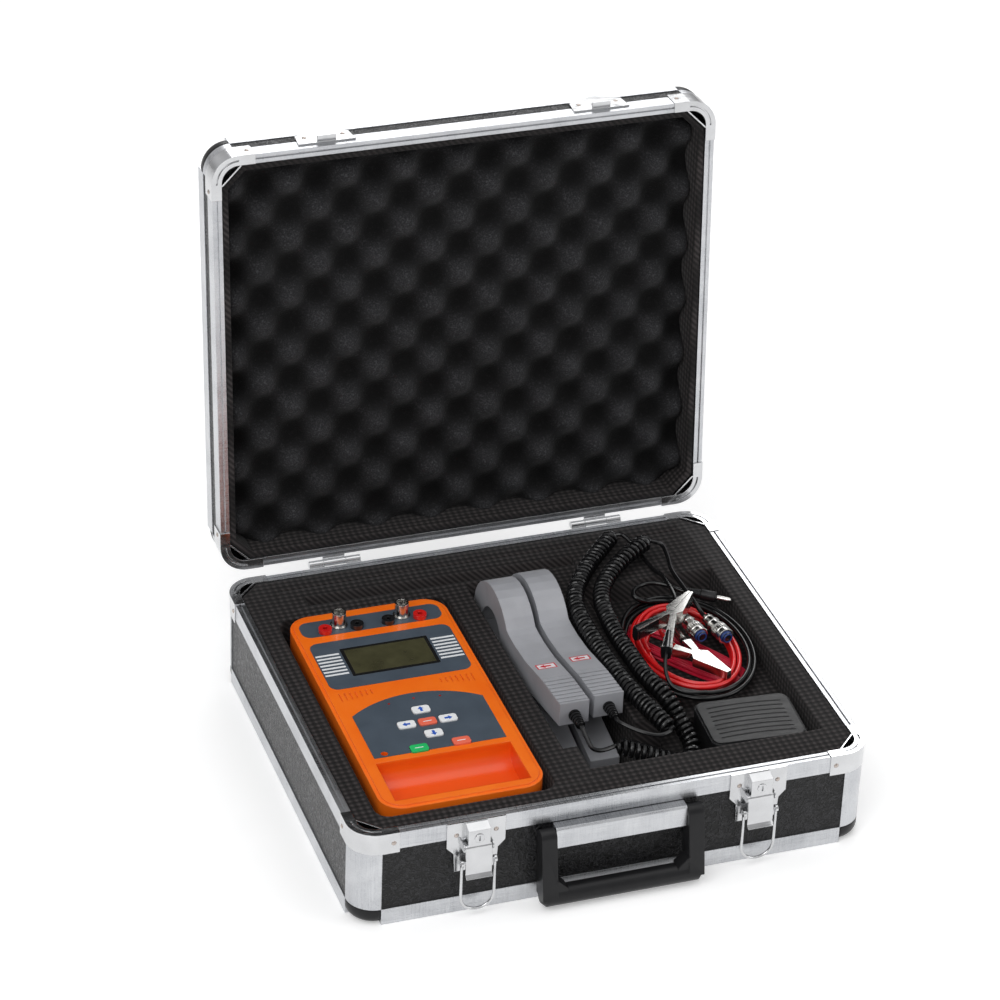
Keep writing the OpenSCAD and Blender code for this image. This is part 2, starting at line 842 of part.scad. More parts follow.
// Lining strips around the inside of the lid
lining_in = foam_inset;
lining_z0 = clip_t + 1;
module lid_lining() {
    w = case_w - 2 * lining_in;
    d = case_d - 2 * lining_in;
    color("#2a2628")
        open_lid()
            translate([0, 0, lid_z + lining_z0])
                difference() {
                    linear_extrude(lid_h - panel_t - foam_gap - lining_z0)
                        chamfered(w / 2, d / 2, foam_chamfer);
                    translate([0, 0, -over])
                        linear_extrude(lid_h)
                            chamfered(w / 2 - lining_t, d / 2 - lining_t, foam_chamfer
                                - lining_t * chamfer_inner_share);
                }
}
chamfer_inner_share = 0.586;
module chamfered(x, y, c) {
    polygon([[-x + c, -y], [x - c, -y], [x, -y + c], [x, y - c], [x - c, y], [-x + c, y],
        [-x, y - c], [-x, -y + c]]);
}

// Egg-crate foam, a grid with four steps to a bump
bump_row = bump_pitch * 1.04;
crate_x = half_w - lining_in - lining_t - foam_gap;
crate_y = half_d - lining_in - lining_t - foam_gap;
crate_corner = foam_chamfer - lining_t * chamfer_inner_share;
crate_nx = ceil(2 * crate_x / (bump_pitch / 4));
crate_ny = ceil(2 * crate_y / (bump_row / 4));
crate_back = lid_z + lid_h - panel_t - foam_gap;
function crate_px(i) = -crate_x + 2 * crate_x * i / crate_nx;
function crate_py(j) = -crate_y + 2 * crate_y * j / crate_ny;
function bump(x, y) = (1 + cos(360 * x / bump_pitch) * cos(360 * y / bump_row)) / 2;
module crate_sheet() {
    nx = crate_nx + 1;
    ny = crate_ny + 1;
    top = [for (j = [0 : ny - 1], i = [0 : nx - 1])
        [crate_px(i), crate_py(j),
            crate_back - crate_t - bump_depth * bump(crate_px(i), crate_py(j))]];
    rim = concat([for (i = [0 : nx - 1]) i], [for (j = [1 : ny - 1]) j * nx + nx - 1],
        [for (i = [nx - 2 : -1 : 0]) (ny - 1) * nx + i], [for (j = [ny - 2 : -1 : 1]) j * nx]);
    m = len(rim);
    back = [for (k = rim) [top[k][0], top[k][1], crate_back]];
    mid = [0, 0, crate_back];
    n = nx * ny;
    polyhedron(concat(top, back, [mid]), concat(
        [for (j = [0 : ny - 2], i = [0 : nx - 2], h = [0, 1])
            h == 0 ? [j * nx + i, j * nx + i + 1, (j + 1) * nx + i + 1]
                : [j * nx + i, (j + 1) * nx + i + 1, (j + 1) * nx + i]],
        [for (k = [0 : m - 1], h = [0, 1])
            h == 0 ? [rim[(k + 1) % m], rim[k], n + k]
                : [rim[(k + 1) % m], n + k, n + (k + 1) % m]],
        [for (k = [0 : m - 1]) [n + (k + 1) % m, n + k, n + m]]));
}
module lid_eggcrate_foam() {
    color("#1a1a1c")
        open_lid()
            intersection() {
                crate_sheet();
                translate([0, 0, lid_z])
                    linear_extrude(lid_h) chamfered(crate_x, crate_y, crate_corner);
            }
}

// Tester body: block with side rails and a scooped lower end
rail_w = 12;
rail_step = 1.2;
scoop_l = 62;
scoop_drop = 20;
scoop_end = 10;
scoop_r = 14;
body_draft = 3;
jack_hole_d = jack_d * 0.62;
socket_row_share = 0.425;
jack_row_share = 0.4;
outer_jack_share = 0.302;
inner_jack_share = 0.1;
socket_share = 0.2;
charge_hole_r = 3;
module tester_body() {
    color("#ff6a10")
        difference() {
            translate([tester_x, tester_y, tester_bottom]) {
                translate([0, 0, body_draft])
                    round_block(tester_w, tester_l, tester_h - body_draft - overlay_t - rail_step,
                        tester_r);
                round_block(tester_w - 2 * body_draft, tester_l - 2 * body_draft,
                    tester_h / 2, tester_r - body_draft);
                // Raised face between the side rails
                translate([0, 0, tester_h / 2])
                    round_block(tester_w - 2 * body_draft, tester_l - 2 * body_draft,
                        tester_h / 2 - overlay_t, tester_r - body_draft);
            }
            // Scoop at the lower end, open towards the front
            translate([tester_x - tester_w / 2 + rail_w, tester_y - tester_l / 2 + scoop_end,
                tester_top - scoop_drop - scoop_r])
                intersection() {
                    translate([0, 0, scoop_r])
                        cube([tester_w - 2 * rail_w, scoop_l - scoop_end, scoop_drop + over]);
                    union() {
                        translate([0, 0, scoop_r * 2])
                            cube([tester_w - 2 * rail_w, scoop_l - scoop_end,
                                scoop_drop + over]);
                        translate([0, -over, scoop_r])
                            cube([tester_w - 2 * rail_w, scoop_l - scoop_end - scoop_r + over,
                                scoop_drop]);
                        translate([0, scoop_l - scoop_end - scoop_r, scoop_r * 2])
                            rotate([0, 90, 0])
                                cylinder(r = scoop_r, h = tester_w - 2 * rail_w);
                    }
                }
            // Engraved ribs between the display and the keypad
            for (side = [-1, 1], k = [0 : rib_line_count - 1])
                translate([tester_x + side * (tester_w / 2 - rail_w - k * rib_line_step)
                    - rib_line_w / 2, tester_y + tester_l * rib_line_share
                    + k * rib_line_w, tester_top - overlay_t - rib_line_w])
                    cube([rib_line_w, rib_line_l - k * rib_line_w, rib_line_w + over]);
            // Holes for the jacks, sockets and charging plug
            for (side = [-1, 1]) {
                for (place = [outer_jack_share, inner_jack_share]) {
                    // No two floors are level, so that collision cuts stay apart
                    depth = jack_stem + (place * side + outer_jack_share) * jack_floor_slope;
                    translate([tester_x + side * tester_w * place,
                        tester_y + tester_l * jack_row_share, tester_top - depth])
                        cylinder(d = jack_hole_d, h = depth);
                }
                translate([tester_x + side * tester_w * socket_share,
                    tester_y + tester_l * socket_row_share, tester_top - socket_stem])
                    cylinder(d = socket_d, h = socket_stem);
            }
            translate([tester_x - tester_w * charge_share, tester_y - tester_l * charge_row_share,
                tester_top - charge_depth])
                cylinder(r = charge_hole_r, h = charge_depth);
            // Wells under the keys
            for (place = key_places)
                translate([tester_x + place[0] * tester_w, tester_y + place[1] * tester_l,
                    tester_top - overlay_t - key_well])
                    round_well();
        }
}
rib_line_count = 7;
rib_line_step = 4.5;
rib_line_w = 0.8;
rib_line_l = 11;
rib_line_share = 0.04;
jack_stem = 9;
jack_floor_slope = 2;
socket_stem = 7.5;
charge_depth = 10.5;
charge_share = 0.335;
charge_row_share = 0.241;
key_well = 3;
key_gap = 0.25;
// Key places as shares of the tester's width and length, up, down, left, right, middle,
// test and power
key_places = [[0.005, -0.063], [0.005, -0.185], [-0.124, -0.125], [0.133, -0.125],
    [0.005, -0.125], [-0.124, -0.244], [0.137, -0.242]];
key_r = 2.5;
module round_well() {
    linear_extrude(key_well + over) round_rect(key_w + 2 * key_gap, key_l + 2 * key_gap, key_r);
}

// Overlays: socket panel, display panel and the arched keypad panel
overlay_w = 123;
socket_panel_l = 22.5;
socket_panel_share = 0.421;
display_l = 69;
display_share = 0.224;
keypad_w = 112;
keypad_l = 80;
keypad_y_share = -0.115;
overlay_r = 8;
lcd_w = 76;
lcd_l = 41;
lcd_share = 0.227;
lcd_t = 0.3;
module tester_overlays() {
    color("#39434f")
        translate([0, 0, tester_top - overlay_t])
            difference() {
                union() {
                    translate([tester_x, tester_y + tester_l * socket_panel_share, 0])
                        round_block(overlay_w, socket_panel_l, overlay_t, overlay_r);
                    translate([tester_x, tester_y + tester_l * display_share, 0])
                        round_block(overlay_w, display_l, overlay_t, overlay_r);
                    translate([tester_x, tester_y + tester_l * keypad_y_share, 0])
                        linear_extrude(overlay_t) keypad_shape();
                }
                for (side = [-1, 1]) {
                    for (place = [outer_jack_share, inner_jack_share])
                        translate([tester_x + side * tester_w * place,
                            tester_y + tester_l * jack_row_share, -over])
                            cylinder(d = jack_hole_d, h = overlay_t + 2 * over);
                    translate([tester_x + side * tester_w * socket_share,
                        tester_y + tester_l * socket_row_share, -over])
                        cylinder(d = socket_d, h = overlay_t + 2 * over);
                }
                translate([tester_x - tester_w * charge_share,
                    tester_y - tester_l * charge_row_share, -over])
                    cylinder(r = charge_hole_r, h = overlay_t + 2 * over);
                for (place = key_places)
                    translate([tester_x + place[0] * tester_w, tester_y + place[1] * tester_l,
                        -over])
                        round_well();
            }
}
// Flat foot, straight sides and an arched top
keypad_shoulder_share = 0.24;
module keypad_shape() {
    arch_r = (pow(keypad_w / 2, 2) + pow(keypad_l * keypad_shoulder_share, 2))
        / (2 * keypad_l * keypad_shoulder_share);
    intersection() {
        square([keypad_w, keypad_l], center = true);
        translate([0, keypad_l / 2 - arch_r]) circle(arch_r, $fn = 180);
    }
}
module lcd_window() {
    color("#3a3a20")
        translate([tester_x, tester_y + tester_l * lcd_share, tester_top])
            round_block(lcd_w, lcd_l, lcd_t, lcd_t * 3);
}

jack_rise = 4;
jack_flange = 1.2;
module jack() {
    difference() {
        union() {
            cylinder(d = jack_d, h = jack_rise);
            translate([0, 0, -jack_stem + over])
                cylinder(d = jack_hole_d, h = jack_stem - over + overlay_t);
        }
        translate([0, 0, -jack_stem + 2 * over])
            cylinder(d = jack_bore_d, h = jack_stem + jack_rise);
    }
}
module red_jacks() {
    color("#e0201c")
        for (side = [-1, 1])
            translate([tester_x + side * tester_w * outer_jack_share,
                tester_y + tester_l * jack_row_share, tester_top]) jack();
}
module black_jacks() {
    color("#141416")
        for (side = [-1, 1])
            translate([tester_x + side * tester_w * inner_jack_share,
                tester_y + tester_l * jack_row_share, tester_top]) jack();
}
// Aviation sockets: flange, threaded tube, insert and four pins
socket_flange_d = 15;
socket_wall = 1.3;
socket_insert = 6;
pin_d = 1.2;
pin_ring_r = 2.6;
pin_depth = 3;
module aviation_sockets() {
    color("silver")
        for (side = [-1, 1])
            translate([tester_x + side * tester_w * socket_share,
                tester_y + tester_l * socket_row_share, tester_top]) {
                difference() {
                    union() {
                        translate([0, 0, -socket_stem + over])
                            cylinder(d = socket_d, h = socket_h + socket_stem - over);
                        cylinder(d = socket_flange_d, h = jack_flange);
                    }
                    translate([0, 0, socket_insert])
                        cylinder(d = socket_d - 2 * socket_wall, h = socket_h);
                    for (k = [0 : 3])
                        rotate(45 + 90 * k)
                            translate([pin_ring_r, 0, socket_insert - pin_depth])
                                cylinder(d = pin_d, h = pin_depth + over);
                }
            }
}

// Keys stand on short stems in their wells
key_stem_r = 2;
module key_at(k, tint) {
    place = key_places[k];
    color(tint)
        translate([tester_x + place[0] * tester_w, tester_y + place[1] * tester_l,
            tester_top - overlay_t - key_well + key_travel + key_gap])
            linear_extrude(key_well - key_travel - key_gap + overlay_t + key_rise)
                round_rect(key_w, key_l, key_r);
}
module up_key() { key_at(0, "white"); }
module down_key() { key_at(1, "white"); }
module left_key() { key_at(2, "white"); }
module right_key() { key_at(3, "white"); }
module centre_key() { key_at(4, "salmon"); }
module test_key() { key_at(5, "#20d048"); }
module power_key() { key_at(6, "salmon"); }

// Clamps lie on edge. A lever is half a ring with an arm behind its pivot.
// Its outline is drawn for the upper lever, pivot at the origin, +x to the jaws
part_gap = 0.25;
arm_end_top = 43.5;
arm_end_low = 22;
waist_top = 28;
ring_steps = 12;
// Heights and places along the arm's top, as shares of its length and of its end height
arm_top_shares = [[-0.64, 0.9], [-0.24, 0.7], [0, 0.65], [0.13, 0.66]];
module lever_outline() {
    from = acos(waist_z / head_r);
    difference() {
        polygon(concat(
            [[-clamp_rear, arm_end_low], [-clamp_rear, arm_end_top]],
            [for (s = arm_top_shares) [s[0] * clamp_rear, s[1] * arm_end_top]],
            [for (k = [0 : ring_steps])
                let (a = 90 + from * ring_start_share - k * (90 + from * ring_start_share)
                    / ring_steps)
                    [pivot_back + head_r * cos(a), max(part_gap, head_r * sin(a))]],
            [[pivot_back + head_r, part_gap], [0, part_gap]]));
        translate([pivot_back, 0]) circle(jaw_r, $fn = 72);
    }
}
waist_z = waist_top;
ring_start_share = 0.95;
rib_w = 1.4;
rib_depth = 0.9;
cheek_gap = 0.3;

// One lever in the case's frame, before it is put in place: width along x
module lever_solid() {
    rotate([90, 0, 90])
        translate([0, 0, -clamp_w / 2])
            linear_extrude(clamp_w) lever_outline();
    rotate([0, 90, 0])
        cylinder(r = boss_r, h = clamp_w, center = true);
}
module lever_cuts(middle) {
    knuckle_w = clamp_w / 3;
    clear_r = boss_r + cheek_gap;
    // Room for the other lever's knuckles
    if (middle)
        rotate([0, 90, 0]) cylinder(r = clear_r, h = knuckle_w + 2 * cheek_gap, center = true);
    else
        for (side = [-1, 1])
            translate([side * clamp_w / 3, 0, 0])
                rotate([0, 90, 0])
                    cylinder(r = clear_r, h = knuckle_w + over * cheek_gap, center = true);
    // Grip ribs across the arm
    slope = atan((arm_end_top - arm_end_top * arm_top_shares[0][1])
        / (clamp_rear + clamp_rear * arm_top_shares[0][0]));
    for (k = [0 : rib_count - 1])
        translate([0, -clamp_rear + rib_w * 2 + k * clamp_rear * rib_pitch_share, arm_end_top])
            translate([0, 0, -(rib_w * 2 + k * clamp_rear * rib_pitch_share) * tan(slope)])
                rotate([slope, 0, 0])
                    translate([-clamp_w, -rib_w / 2, -rib_depth])
                        cube([2 * clamp_w, rib_w, clamp_w]);
}
rib_pitch_share = 0.055;
module upper_lever() {
    difference() {
        lever_solid();
        lever_cuts(true);
        translate([-clamp_w, -clamp_rear * 2, -clamp_w * 4])
            cube([2 * clamp_w, clamp_rear * 2 - boss_r, clamp_w * 4 - part_gap]);
        rotate([0, 90, 0])
            cylinder(r = clamp_pin_r + lever_fit, h = clamp_w + 2 * over, center = true);
    }
}
module lower_lever() {
    difference() {
        mirror([0, 0, 1]) lever_solid();
        mirror([0, 0, 1]) lever_cuts(false);
    }
    rotate([0, 90, 0]) cylinder(r = clamp_pin_r, h = clamp_w, center = true);
}
module left_clamp_at() {
    translate([left_clamp_x, clamp_y, clamp_z]) children();
}
module right_clamp_at() {
    translate([right_clamp_x, clamp_y + right_clamp_shift, clamp_z]) children();
}
module left_clamp_upper() {
    color("#b4b4bc") left_clamp_at() upper_lever();
}
module left_clamp_lower() {
    color("#b4b4bc") left_clamp_at() lower_lever();
}
module right_clamp_upper() {
    color("#b4b4bc") right_clamp_at() upper_lever();
}
module right_clamp_lower() {
    color("#b4b4bc") right_clamp_at() lower_lever();
}

// Ribbed strain relief on the end of the upper lever
relief_l = 17;
relief_r = 5;
relief_tip_r = 3.6;
relief_rings = 5;
relief_drop = 1.5;
relief_z = (arm_end_low + arm_end_top) / 2 - relief_drop;
module relief() {
    translate([0, -clamp_rear, relief_z])
        rotate([90, 0, 0]) {
            cylinder(r1 = relief_r - over / 2, r2 = relief_tip_r - over / 2, h = relief_l);
            for (k = [0 : relief_rings - 1])
                translate([0, 0, k * relief_l / relief_rings])
                    cylinder(r = relief_r - (relief_r - relief_tip_r) * k / relief_rings,
                        h = relief_l / relief_rings * relief_ring_share);
        }
}
relief_ring_share = 0.55;
module left_clamp_relief() {
    color("#161618") left_clamp_at() relief();
}
module right_clamp_relief() {
    color("#161618") right_clamp_at() relief();
}

curl_r = (curl_d - cord_d) / 2;
curl_rings = 8;
// Tubes: a ring of points round each point of a path
function unit(v) = v / norm(v);
function tangent(p, i) = unit(p[min(i + 1, len(p) - 1)] - p[max(i - 1, 0)]);
function ring(c, t, up, r, sides) =
    let (u = unit(up - (up * t) * t), v = cross(t, u))
        [for (k = [0 : sides - 1])
            c + r * (cos(360 * k / sides) * u + sin(360 * k / sides) * v)];
module tube(path, ups, r, sides) {
    n = len(path);
    pts = [for (i = [0 : n - 1]) each ring(path[i], tangent(path, i), ups[i], r, sides)];
    polyhedron(pts, concat(
        [for (i = [0 : n - 2], k = [0 : sides - 1], h = [0, 1])
            let (a = i * sides + k, b = i * sides + (k + 1) % sides)
                h == 0 ? [a, a + sides, b + sides] : [a, b + sides, b]],
        [for (k = [1 : sides - 2]) [0, k, k + 1]],
        [for (k = [1 : sides - 2]) let (m = (n - 1) * sides) [m, m + k + 1, m + k]]));
}
// A smooth curve through hand-set points, steps to each span
function spline(p, i, t) =
    let (a = p[max(i - 1, 0)], b = p[i], c = p[i + 1], d = p[min(i + 2, len(p) - 1)])
        0.5 * (2 * b + (c - a) * t + (2 * a - 5 * b + 4 * c - d) * t * t
            + (3 * b - a - 3 * c + d) * t * t * t);
function smooth(p, steps) =
    concat([for (i = [0 : len(p) - 2], k = [0 : steps - 1]) spline(p, i, k / steps)],
        [p[len(p) - 1]]);
function same_up(path, up) = [for (q = path) up];
function along(p, s) =
    let (m = (len(p) - 1) * s, i = min(floor(m), len(p) - 2)) spline(p, i, m - i);

// Curly stretches: a helix round a smooth route, from its underside to its underside
function route_dir(p, s) =
    unit(along(p, min(s + 0.01, 1)) - along(p, max(s - 0.01, 0)));
function curl_radial(p, s, a) =
    let (t = route_dir(p, s), side = unit(cross(t, [0, 0, 1])), up = cross(side, t))
        cos(a) * side + sin(a) * up;
function curl_point(p, s, a) = along(p, s) + curl_r * curl_radial(p, s, a);
// Angles count back from the underside, where every helix ends
function curl_angle(k, n) = 360 * (k / curl_rings - n) - 90;
function curl_path(p, n) =
    [for (k = [0 : n * curl_rings]) curl_point(p, k / (n * curl_rings), curl_angle(k, n))];
function curl_ups(p, n) =
    [for (k = [0 : n * curl_rings]) curl_radial(p, k / (n * curl_rings), curl_angle(k, n))];
function start_dir(p) = unit(p[1] - p[0]);
function end_dir(p) = unit(p[len(p) - 1] - p[len(p) - 2]);
// A tube runs straight for one diameter at both ends
function start_face(p, d) = p[0] - d * start_dir(p);
function end_face(p, d) = p[len(p) - 1] + d * end_dir(p);
module curly(c, u) {
    tube(concat([start_face(c, cord_d)], c, [end_face(c, cord_d)]),
        concat([u[0]], u, [u[len(u) - 1]]), cord_d / 2, 6);
}

// Routes of the two curly cords, near end first
left_curls = 24.75;
right_curls = 22;
left_route = [[22, -125, 86], [37, -131, 83], [54, -137, 77], [70, -140, 71], [82, -137, 69],
    [89, -125, 73], [87, -109, 80], [83, -91, 91], [78, -72, 96.4], [74, -50, 96.4],
    [73, -26, 96.4], [72, 7, 96.4], [74, 40, 96.4], [78, 65, 96.4], [88, 87, 97.5],
    [108, 108, 101], [127, 121, 104], [145, 133, 104]];
right_route = [[68, -128, 94], [63, -109, 96.4], [58, -83, 96.4], [54, -55, 96.4],
    [52, -27, 96.4], [51, 10, 96.4], [52, 47, 96.4], [56, 71, 96.4], [67, 94, 96.4],
    [89, 124, 96.4], [121, 156, 99.5]];
left_curl = curl_path(left_route, left_curls);
right_curl = curl_path(right_route, right_curls);
// Routes of the free stretches between the reliefs and the curls, and on to the plugs
left_lead_route = [[-2, -119, 95], [0, -128, 90], [8, -133, 82], [15, -132, 78]];
right_lead_route = [[31, -113, 98], [40, -119, 95], [51, -125, 89]];
left_tail_route = [[151, 117, 97], [152, 98, 96], [152, 72, 96], [155, 45, 94]];
right_tail_route = [[131, 145, 91], [137, 128, 91], [141, 108, 91], [144, 90, 93], [143, 62, 93]];
plug_r = 7.2;
plug_l = 36;
left_plug_at = [158, 24, 91];
left_plug_turn = -80;
right_plug_at = [139.5, 33, 90];
right_plug_turn = -82;

relief_end = [0, -clamp_rear - relief_l, relief_z];
left_relief_end = [left_clamp_x, clamp_y, clamp_z] + relief_end;
right_relief_end = [right_clamp_x, clamp_y + right_clamp_shift, clamp_z] + relief_end;

// A free stretch that leaves one face squarely and meets another squarely
module stretch(start, start_dir, route, end, end_dir, d) {
    path = concat([start], smooth(concat([start + start_dir * d], route, [end - end_dir * d]),
        2), [end]);
    tube(path, same_up(path, [0.1, 0.1, 1]), d / 2, 8);
}
module left_cord_lead() {
    color("#161618")
        stretch(left_relief_end, [0, -1, 0], left_lead_route, start_face(left_curl, cord_d),
            start_dir(left_curl), cord_d);
}
module right_cord_lead() {
    color("#161618")
        stretch(right_relief_end, [0, -1, 0], right_lead_route,
            start_face(right_curl, cord_d), start_dir(right_curl), cord_d);
}
module left_cord_coil() {
    color("#161618") curly(left_curl, curl_ups(left_route, left_curls));
}
module right_cord_coil() {
    color("#161618") curly(right_curl, curl_ups(right_route, right_curls));
}
function turned(a) = [cos(a), sin(a), 0];
module cord_tails() {
    color("#161618") {
        stretch(end_face(left_curl, cord_d), end_dir(left_curl), left_tail_route, left_plug_at,
            turned(left_plug_turn), cord_d);
        stretch(end_face(right_curl, cord_d), end_dir(right_curl), right_tail_route,
            right_plug_at, turned(right_plug_turn), cord_d);
    }
}

// Aviation plug, rear face at the origin, nose towards +x
plug_rear_r = 4.6;
plug_body_r = 6.2;
plug_insert_r = 4.4;
plug_groove = 0.8;
module plug() {
    cone = plug_l * plug_shares[0];
    body = cone + plug_l * plug_shares[1];
    ring_l = plug_l * plug_shares[2];
    r1 = plug_r - plug_groove;
    rotate([0, 90, 0])
        rotate_extrude()
            polygon([[0, 0], [plug_rear_r, 0], [plug_body_r, cone], [plug_body_r, body],
                [plug_r, body], [plug_r, body + ring_l * 0.25], [r1, body + ring_l * 0.3],
                [r1, body + ring_l * 0.38], [plug_r, body + ring_l * 0.43],
                [plug_r, body + ring_l * 0.68], [r1, body + ring_l * 0.73],
                [r1, body + ring_l * 0.81], [plug_r, body + ring_l * 0.86],
                [plug_r, body + ring_l], [plug_insert_r, body + ring_l],
                [plug_insert_r, plug_l], [0, plug_l]]);
}
// Lengths of the plug's rear cone, body, ring and insert, as shares of its length
plug_shares = [0.3, 0.24, 0.36, 0.1];
module aviation_plugs() {
    color("silver") {
        translate(left_plug_at) rotate(left_plug_turn) plug();
        translate(right_plug_at) rotate(right_plug_turn) plug();
    }
}

// Test leads: oval loops that spiral out, climb a layer and spiral in again
pile_x = 133;
pile_y = 4;
loop_rings = 24;
loop_pitch = 4.8;
red_loops = 4;
black_loops = 3;
red_axes = [34, 56];
black_axes = red_axes + (red_loops / 2 + 1) * loop_pitch * [1, 1];
red_from = 180;
black_from = 90;
pile_z = lead_floor + foam_gap + 2 * thin_d + 3;
// Turns in the lower layer come first; the tube climbs in the half turn in the middle
function pile_layer(m, n) = m < n / 2 - 0.25 ? 0 : m > n / 2 + 0.25 ? 1 : (m - n / 2 + 0.25) * 2;
function pile_out(m, n) = min(m, n - m);
function pile_point(m, n, axes, from) =
    let (a = from + 360 * m, o = pile_out(m, n) * loop_pitch)
        [pile_x + (axes[0] + o) * cos(a), pile_y + (axes[1] + o) * sin(a),
            pile_z + pile_layer(m, n) * loop_pitch];
function pile_path(n, axes, from) =
    [for (k = [0 : n * loop_rings]) pile_point(k / loop_rings, n, axes, from)];
module pile(p, d) {
    path = concat([start_face(p, d)], p, [end_face(p, d)]);
    tube(path, same_up(path, [0, 0, 1]), d / 2, 6);
}
red_pile = pile_path(red_loops, red_axes, red_from);
black_pile = concat(pile_path(black_loops, black_axes, black_from), [[127, 73, 81.1]]);
module red_lead_coil() {
    color("#e8201c") pile(red_pile, lead_d);
}
module black_lead_coil() {
    color("#161618") pile(black_pile, lead_d);
}

// Thin earth wire in a hank across the bottom of the well
hank_loops = 4;
hank_l = 108;
hank_w = 26;
hank_turn = -56;
hank_pitch = thin_d + 0.7;
hank_z = lead_floor + foam_gap + thin_d / 2;
hank_square = 0.6;
function hank_point(m, n) =
    let (a = 360 * m, o = pile_out(m, n) * hank_pitch,
        x = hank_l / 2 * sign(cos(a)) * pow(abs(cos(a)), hank_square) + o * cos(a),
        y = hank_w / 2 * sin(a) + o * sin(a))
        [pile_x + x * cos(hank_turn) - y * sin(hank_turn),
            pile_y + x * sin(hank_turn) + y * cos(hank_turn),
            hank_z + pile_layer(m, n) * hank_pitch];
hank_path = [for (k = [0 : hank_loops * loop_rings]) hank_point(k / loop_rings, hank_loops)];
module earth_wire_hank() {
    color("#e03050") pile(hank_path, thin_d);
}

// Least gap of a tube to itself, between points that lie apart along it
function self_gap(p, apart, d) =
    min([for (i = [0 : len(p) - 1], j = [i + apart : 1 : len(p) - 1]) norm(p[i] - p[j])]) - d;
echo(left_curl_gap = self_gap(left_curl, 6, cord_d));
echo(right_curl_gap = self_gap(right_curl, 6, cord_d));
echo(red_coil_gap = self_gap(red_pile, 13, lead_d));
echo(black_coil_gap = self_gap(black_pile, 13, lead_d));
echo(hank_gap = self_gap(hank_path, 13, thin_d));

// Spring clips, pivot at the origin, jaws towards +x, pin along z
clip_part_gap = 0.15;
clip_hub_r = 5;
clip_pin_r = 1.2;
clip_tip_t = 2.4;
clip_fit = 0.05;
clip_cheek_gap = 0.3;
function polar(r, a) = [r * cos(a), r * sin(a)];
// Half of a clip on its +y side; m is the free wedge behind the pin on that side
module clip_outline(jaw_l, jaw_t, grip_l, spread, thick, m) {
    inner_r = clip_hub_r * 0.9;
    polygon([polar(inner_r, 180 - m), polar(grip_l, 180 - spread),
        polar(grip_l, 180 - spread - thick), polar(inner_r, 95), [clip_hub_r, jaw_t],
        [jaw_l, clip_tip_t], [jaw_l, clip_part_gap], [0, clip_part_gap]]);
}
module clip_half(w, moving) {
    knuckle_w = w / 3;
    hub_cut = clip_hub_r + clip_cheek_gap;
    difference() {
        translate([0, 0, -w / 2]) linear_extrude(w) children();
        if (moving)
            for (side = [-1, 1])
                translate([0, 0, side * knuckle_w])
                    cylinder(r = hub_cut, h = knuckle_w + clip_cheek_gap, center = true);
        else
            cylinder(r = hub_cut, h = knuckle_w + 2 * clip_cheek_gap, center = true);
        cylinder(r = clip_pin_r + clip_fit, h = w + 2 * over, center = true);
    }
    if (moving)
        difference() {
            cylinder(r = clip_hub_r, h = knuckle_w - clip_cheek_gap, center = true);
            cylinder(r = clip_pin_r + clip_fit, h = w, center = true);
        }
    else {
        for (side = [-1, 1])
            translate([0, 0, side * knuckle_w])
                cylinder(r = clip_hub_r, h = knuckle_w, center = true);
        cylinder(r = clip_pin_r, h = w, center = true);
    }
}
black_clip_at = [123, 17, 102.1];
black_clip_turn = 43;
black_clip_w = 12;
black_jaw_l = 36;
black_jaw_t = 8;
black_grip_l = 40;
black_fixed_grip_l = 54;
black_spread = 17;
black_grip_angle = 9;
black_wedge = 11;
silver_clip_at = [131, -22, 86.6];
silver_clip_turn = -64;
silver_clip_w = 8;
silver_jaw_l = 38;
silver_jaw_t = 9;
silver_grip_l = 20;
silver_spread = 12;
silver_grip_angle = 22;
silver_wedge = 7;
boot_r = 3.6;
boot_l = 20;
boot_stub = 8;
boot_bend = 20;
boot_start = 3;
module silver_outline() {
    clip_outline(silver_jaw_l, silver_jaw_t, silver_grip_l, silver_spread, silver_grip_angle,
        silver_wedge);
}
boot_mid = silver_spread + silver_grip_angle / 2;
// Rubber boot over the end of a silver grip; side is 1 or -1
module boot(side, stub) {
    at = polar(silver_grip_l - boot_start, 180 - side * boot_mid);
    translate([at[0], at[1], 0])
        rotate(180 - boot_bend)
            rotate([0, 90, 0]) {
                cylinder(r = boot_r, h = boot_l);
                if (stub) cylinder(d = lead_d, h = boot_l + boot_stub);
            }
}
module black_clip_place() {
    translate(black_clip_at) rotate(black_clip_turn) children();
}
module silver_clip_place() {
    translate(silver_clip_at) rotate(silver_clip_turn) children();
}
module clip_frames() {
    color("silver") {
        black_clip_place()
            clip_half(black_clip_w, false)
                mirror([0, 1])
                    clip_outline(black_jaw_l, black_jaw_t, black_fixed_grip_l, black_spread,
                        black_grip_angle, black_wedge);
        silver_clip_place() {
            clip_half(silver_clip_w, false) mirror([0, 1]) silver_outline();
            boot(-1, false);
        }
    }
}
module black_clip_jaw() {
    color("silver")
        black_clip_place()
            clip_half(black_clip_w, true)
                clip_outline(black_jaw_l, black_jaw_t, black_grip_l, black_spread,
                    black_grip_angle, black_wedge);
}
module silver_clip_jaw() {
    color("silver")
        silver_clip_place() {
            clip_half(silver_clip_w, true) silver_outline();
            boot(1, true);
        }
}

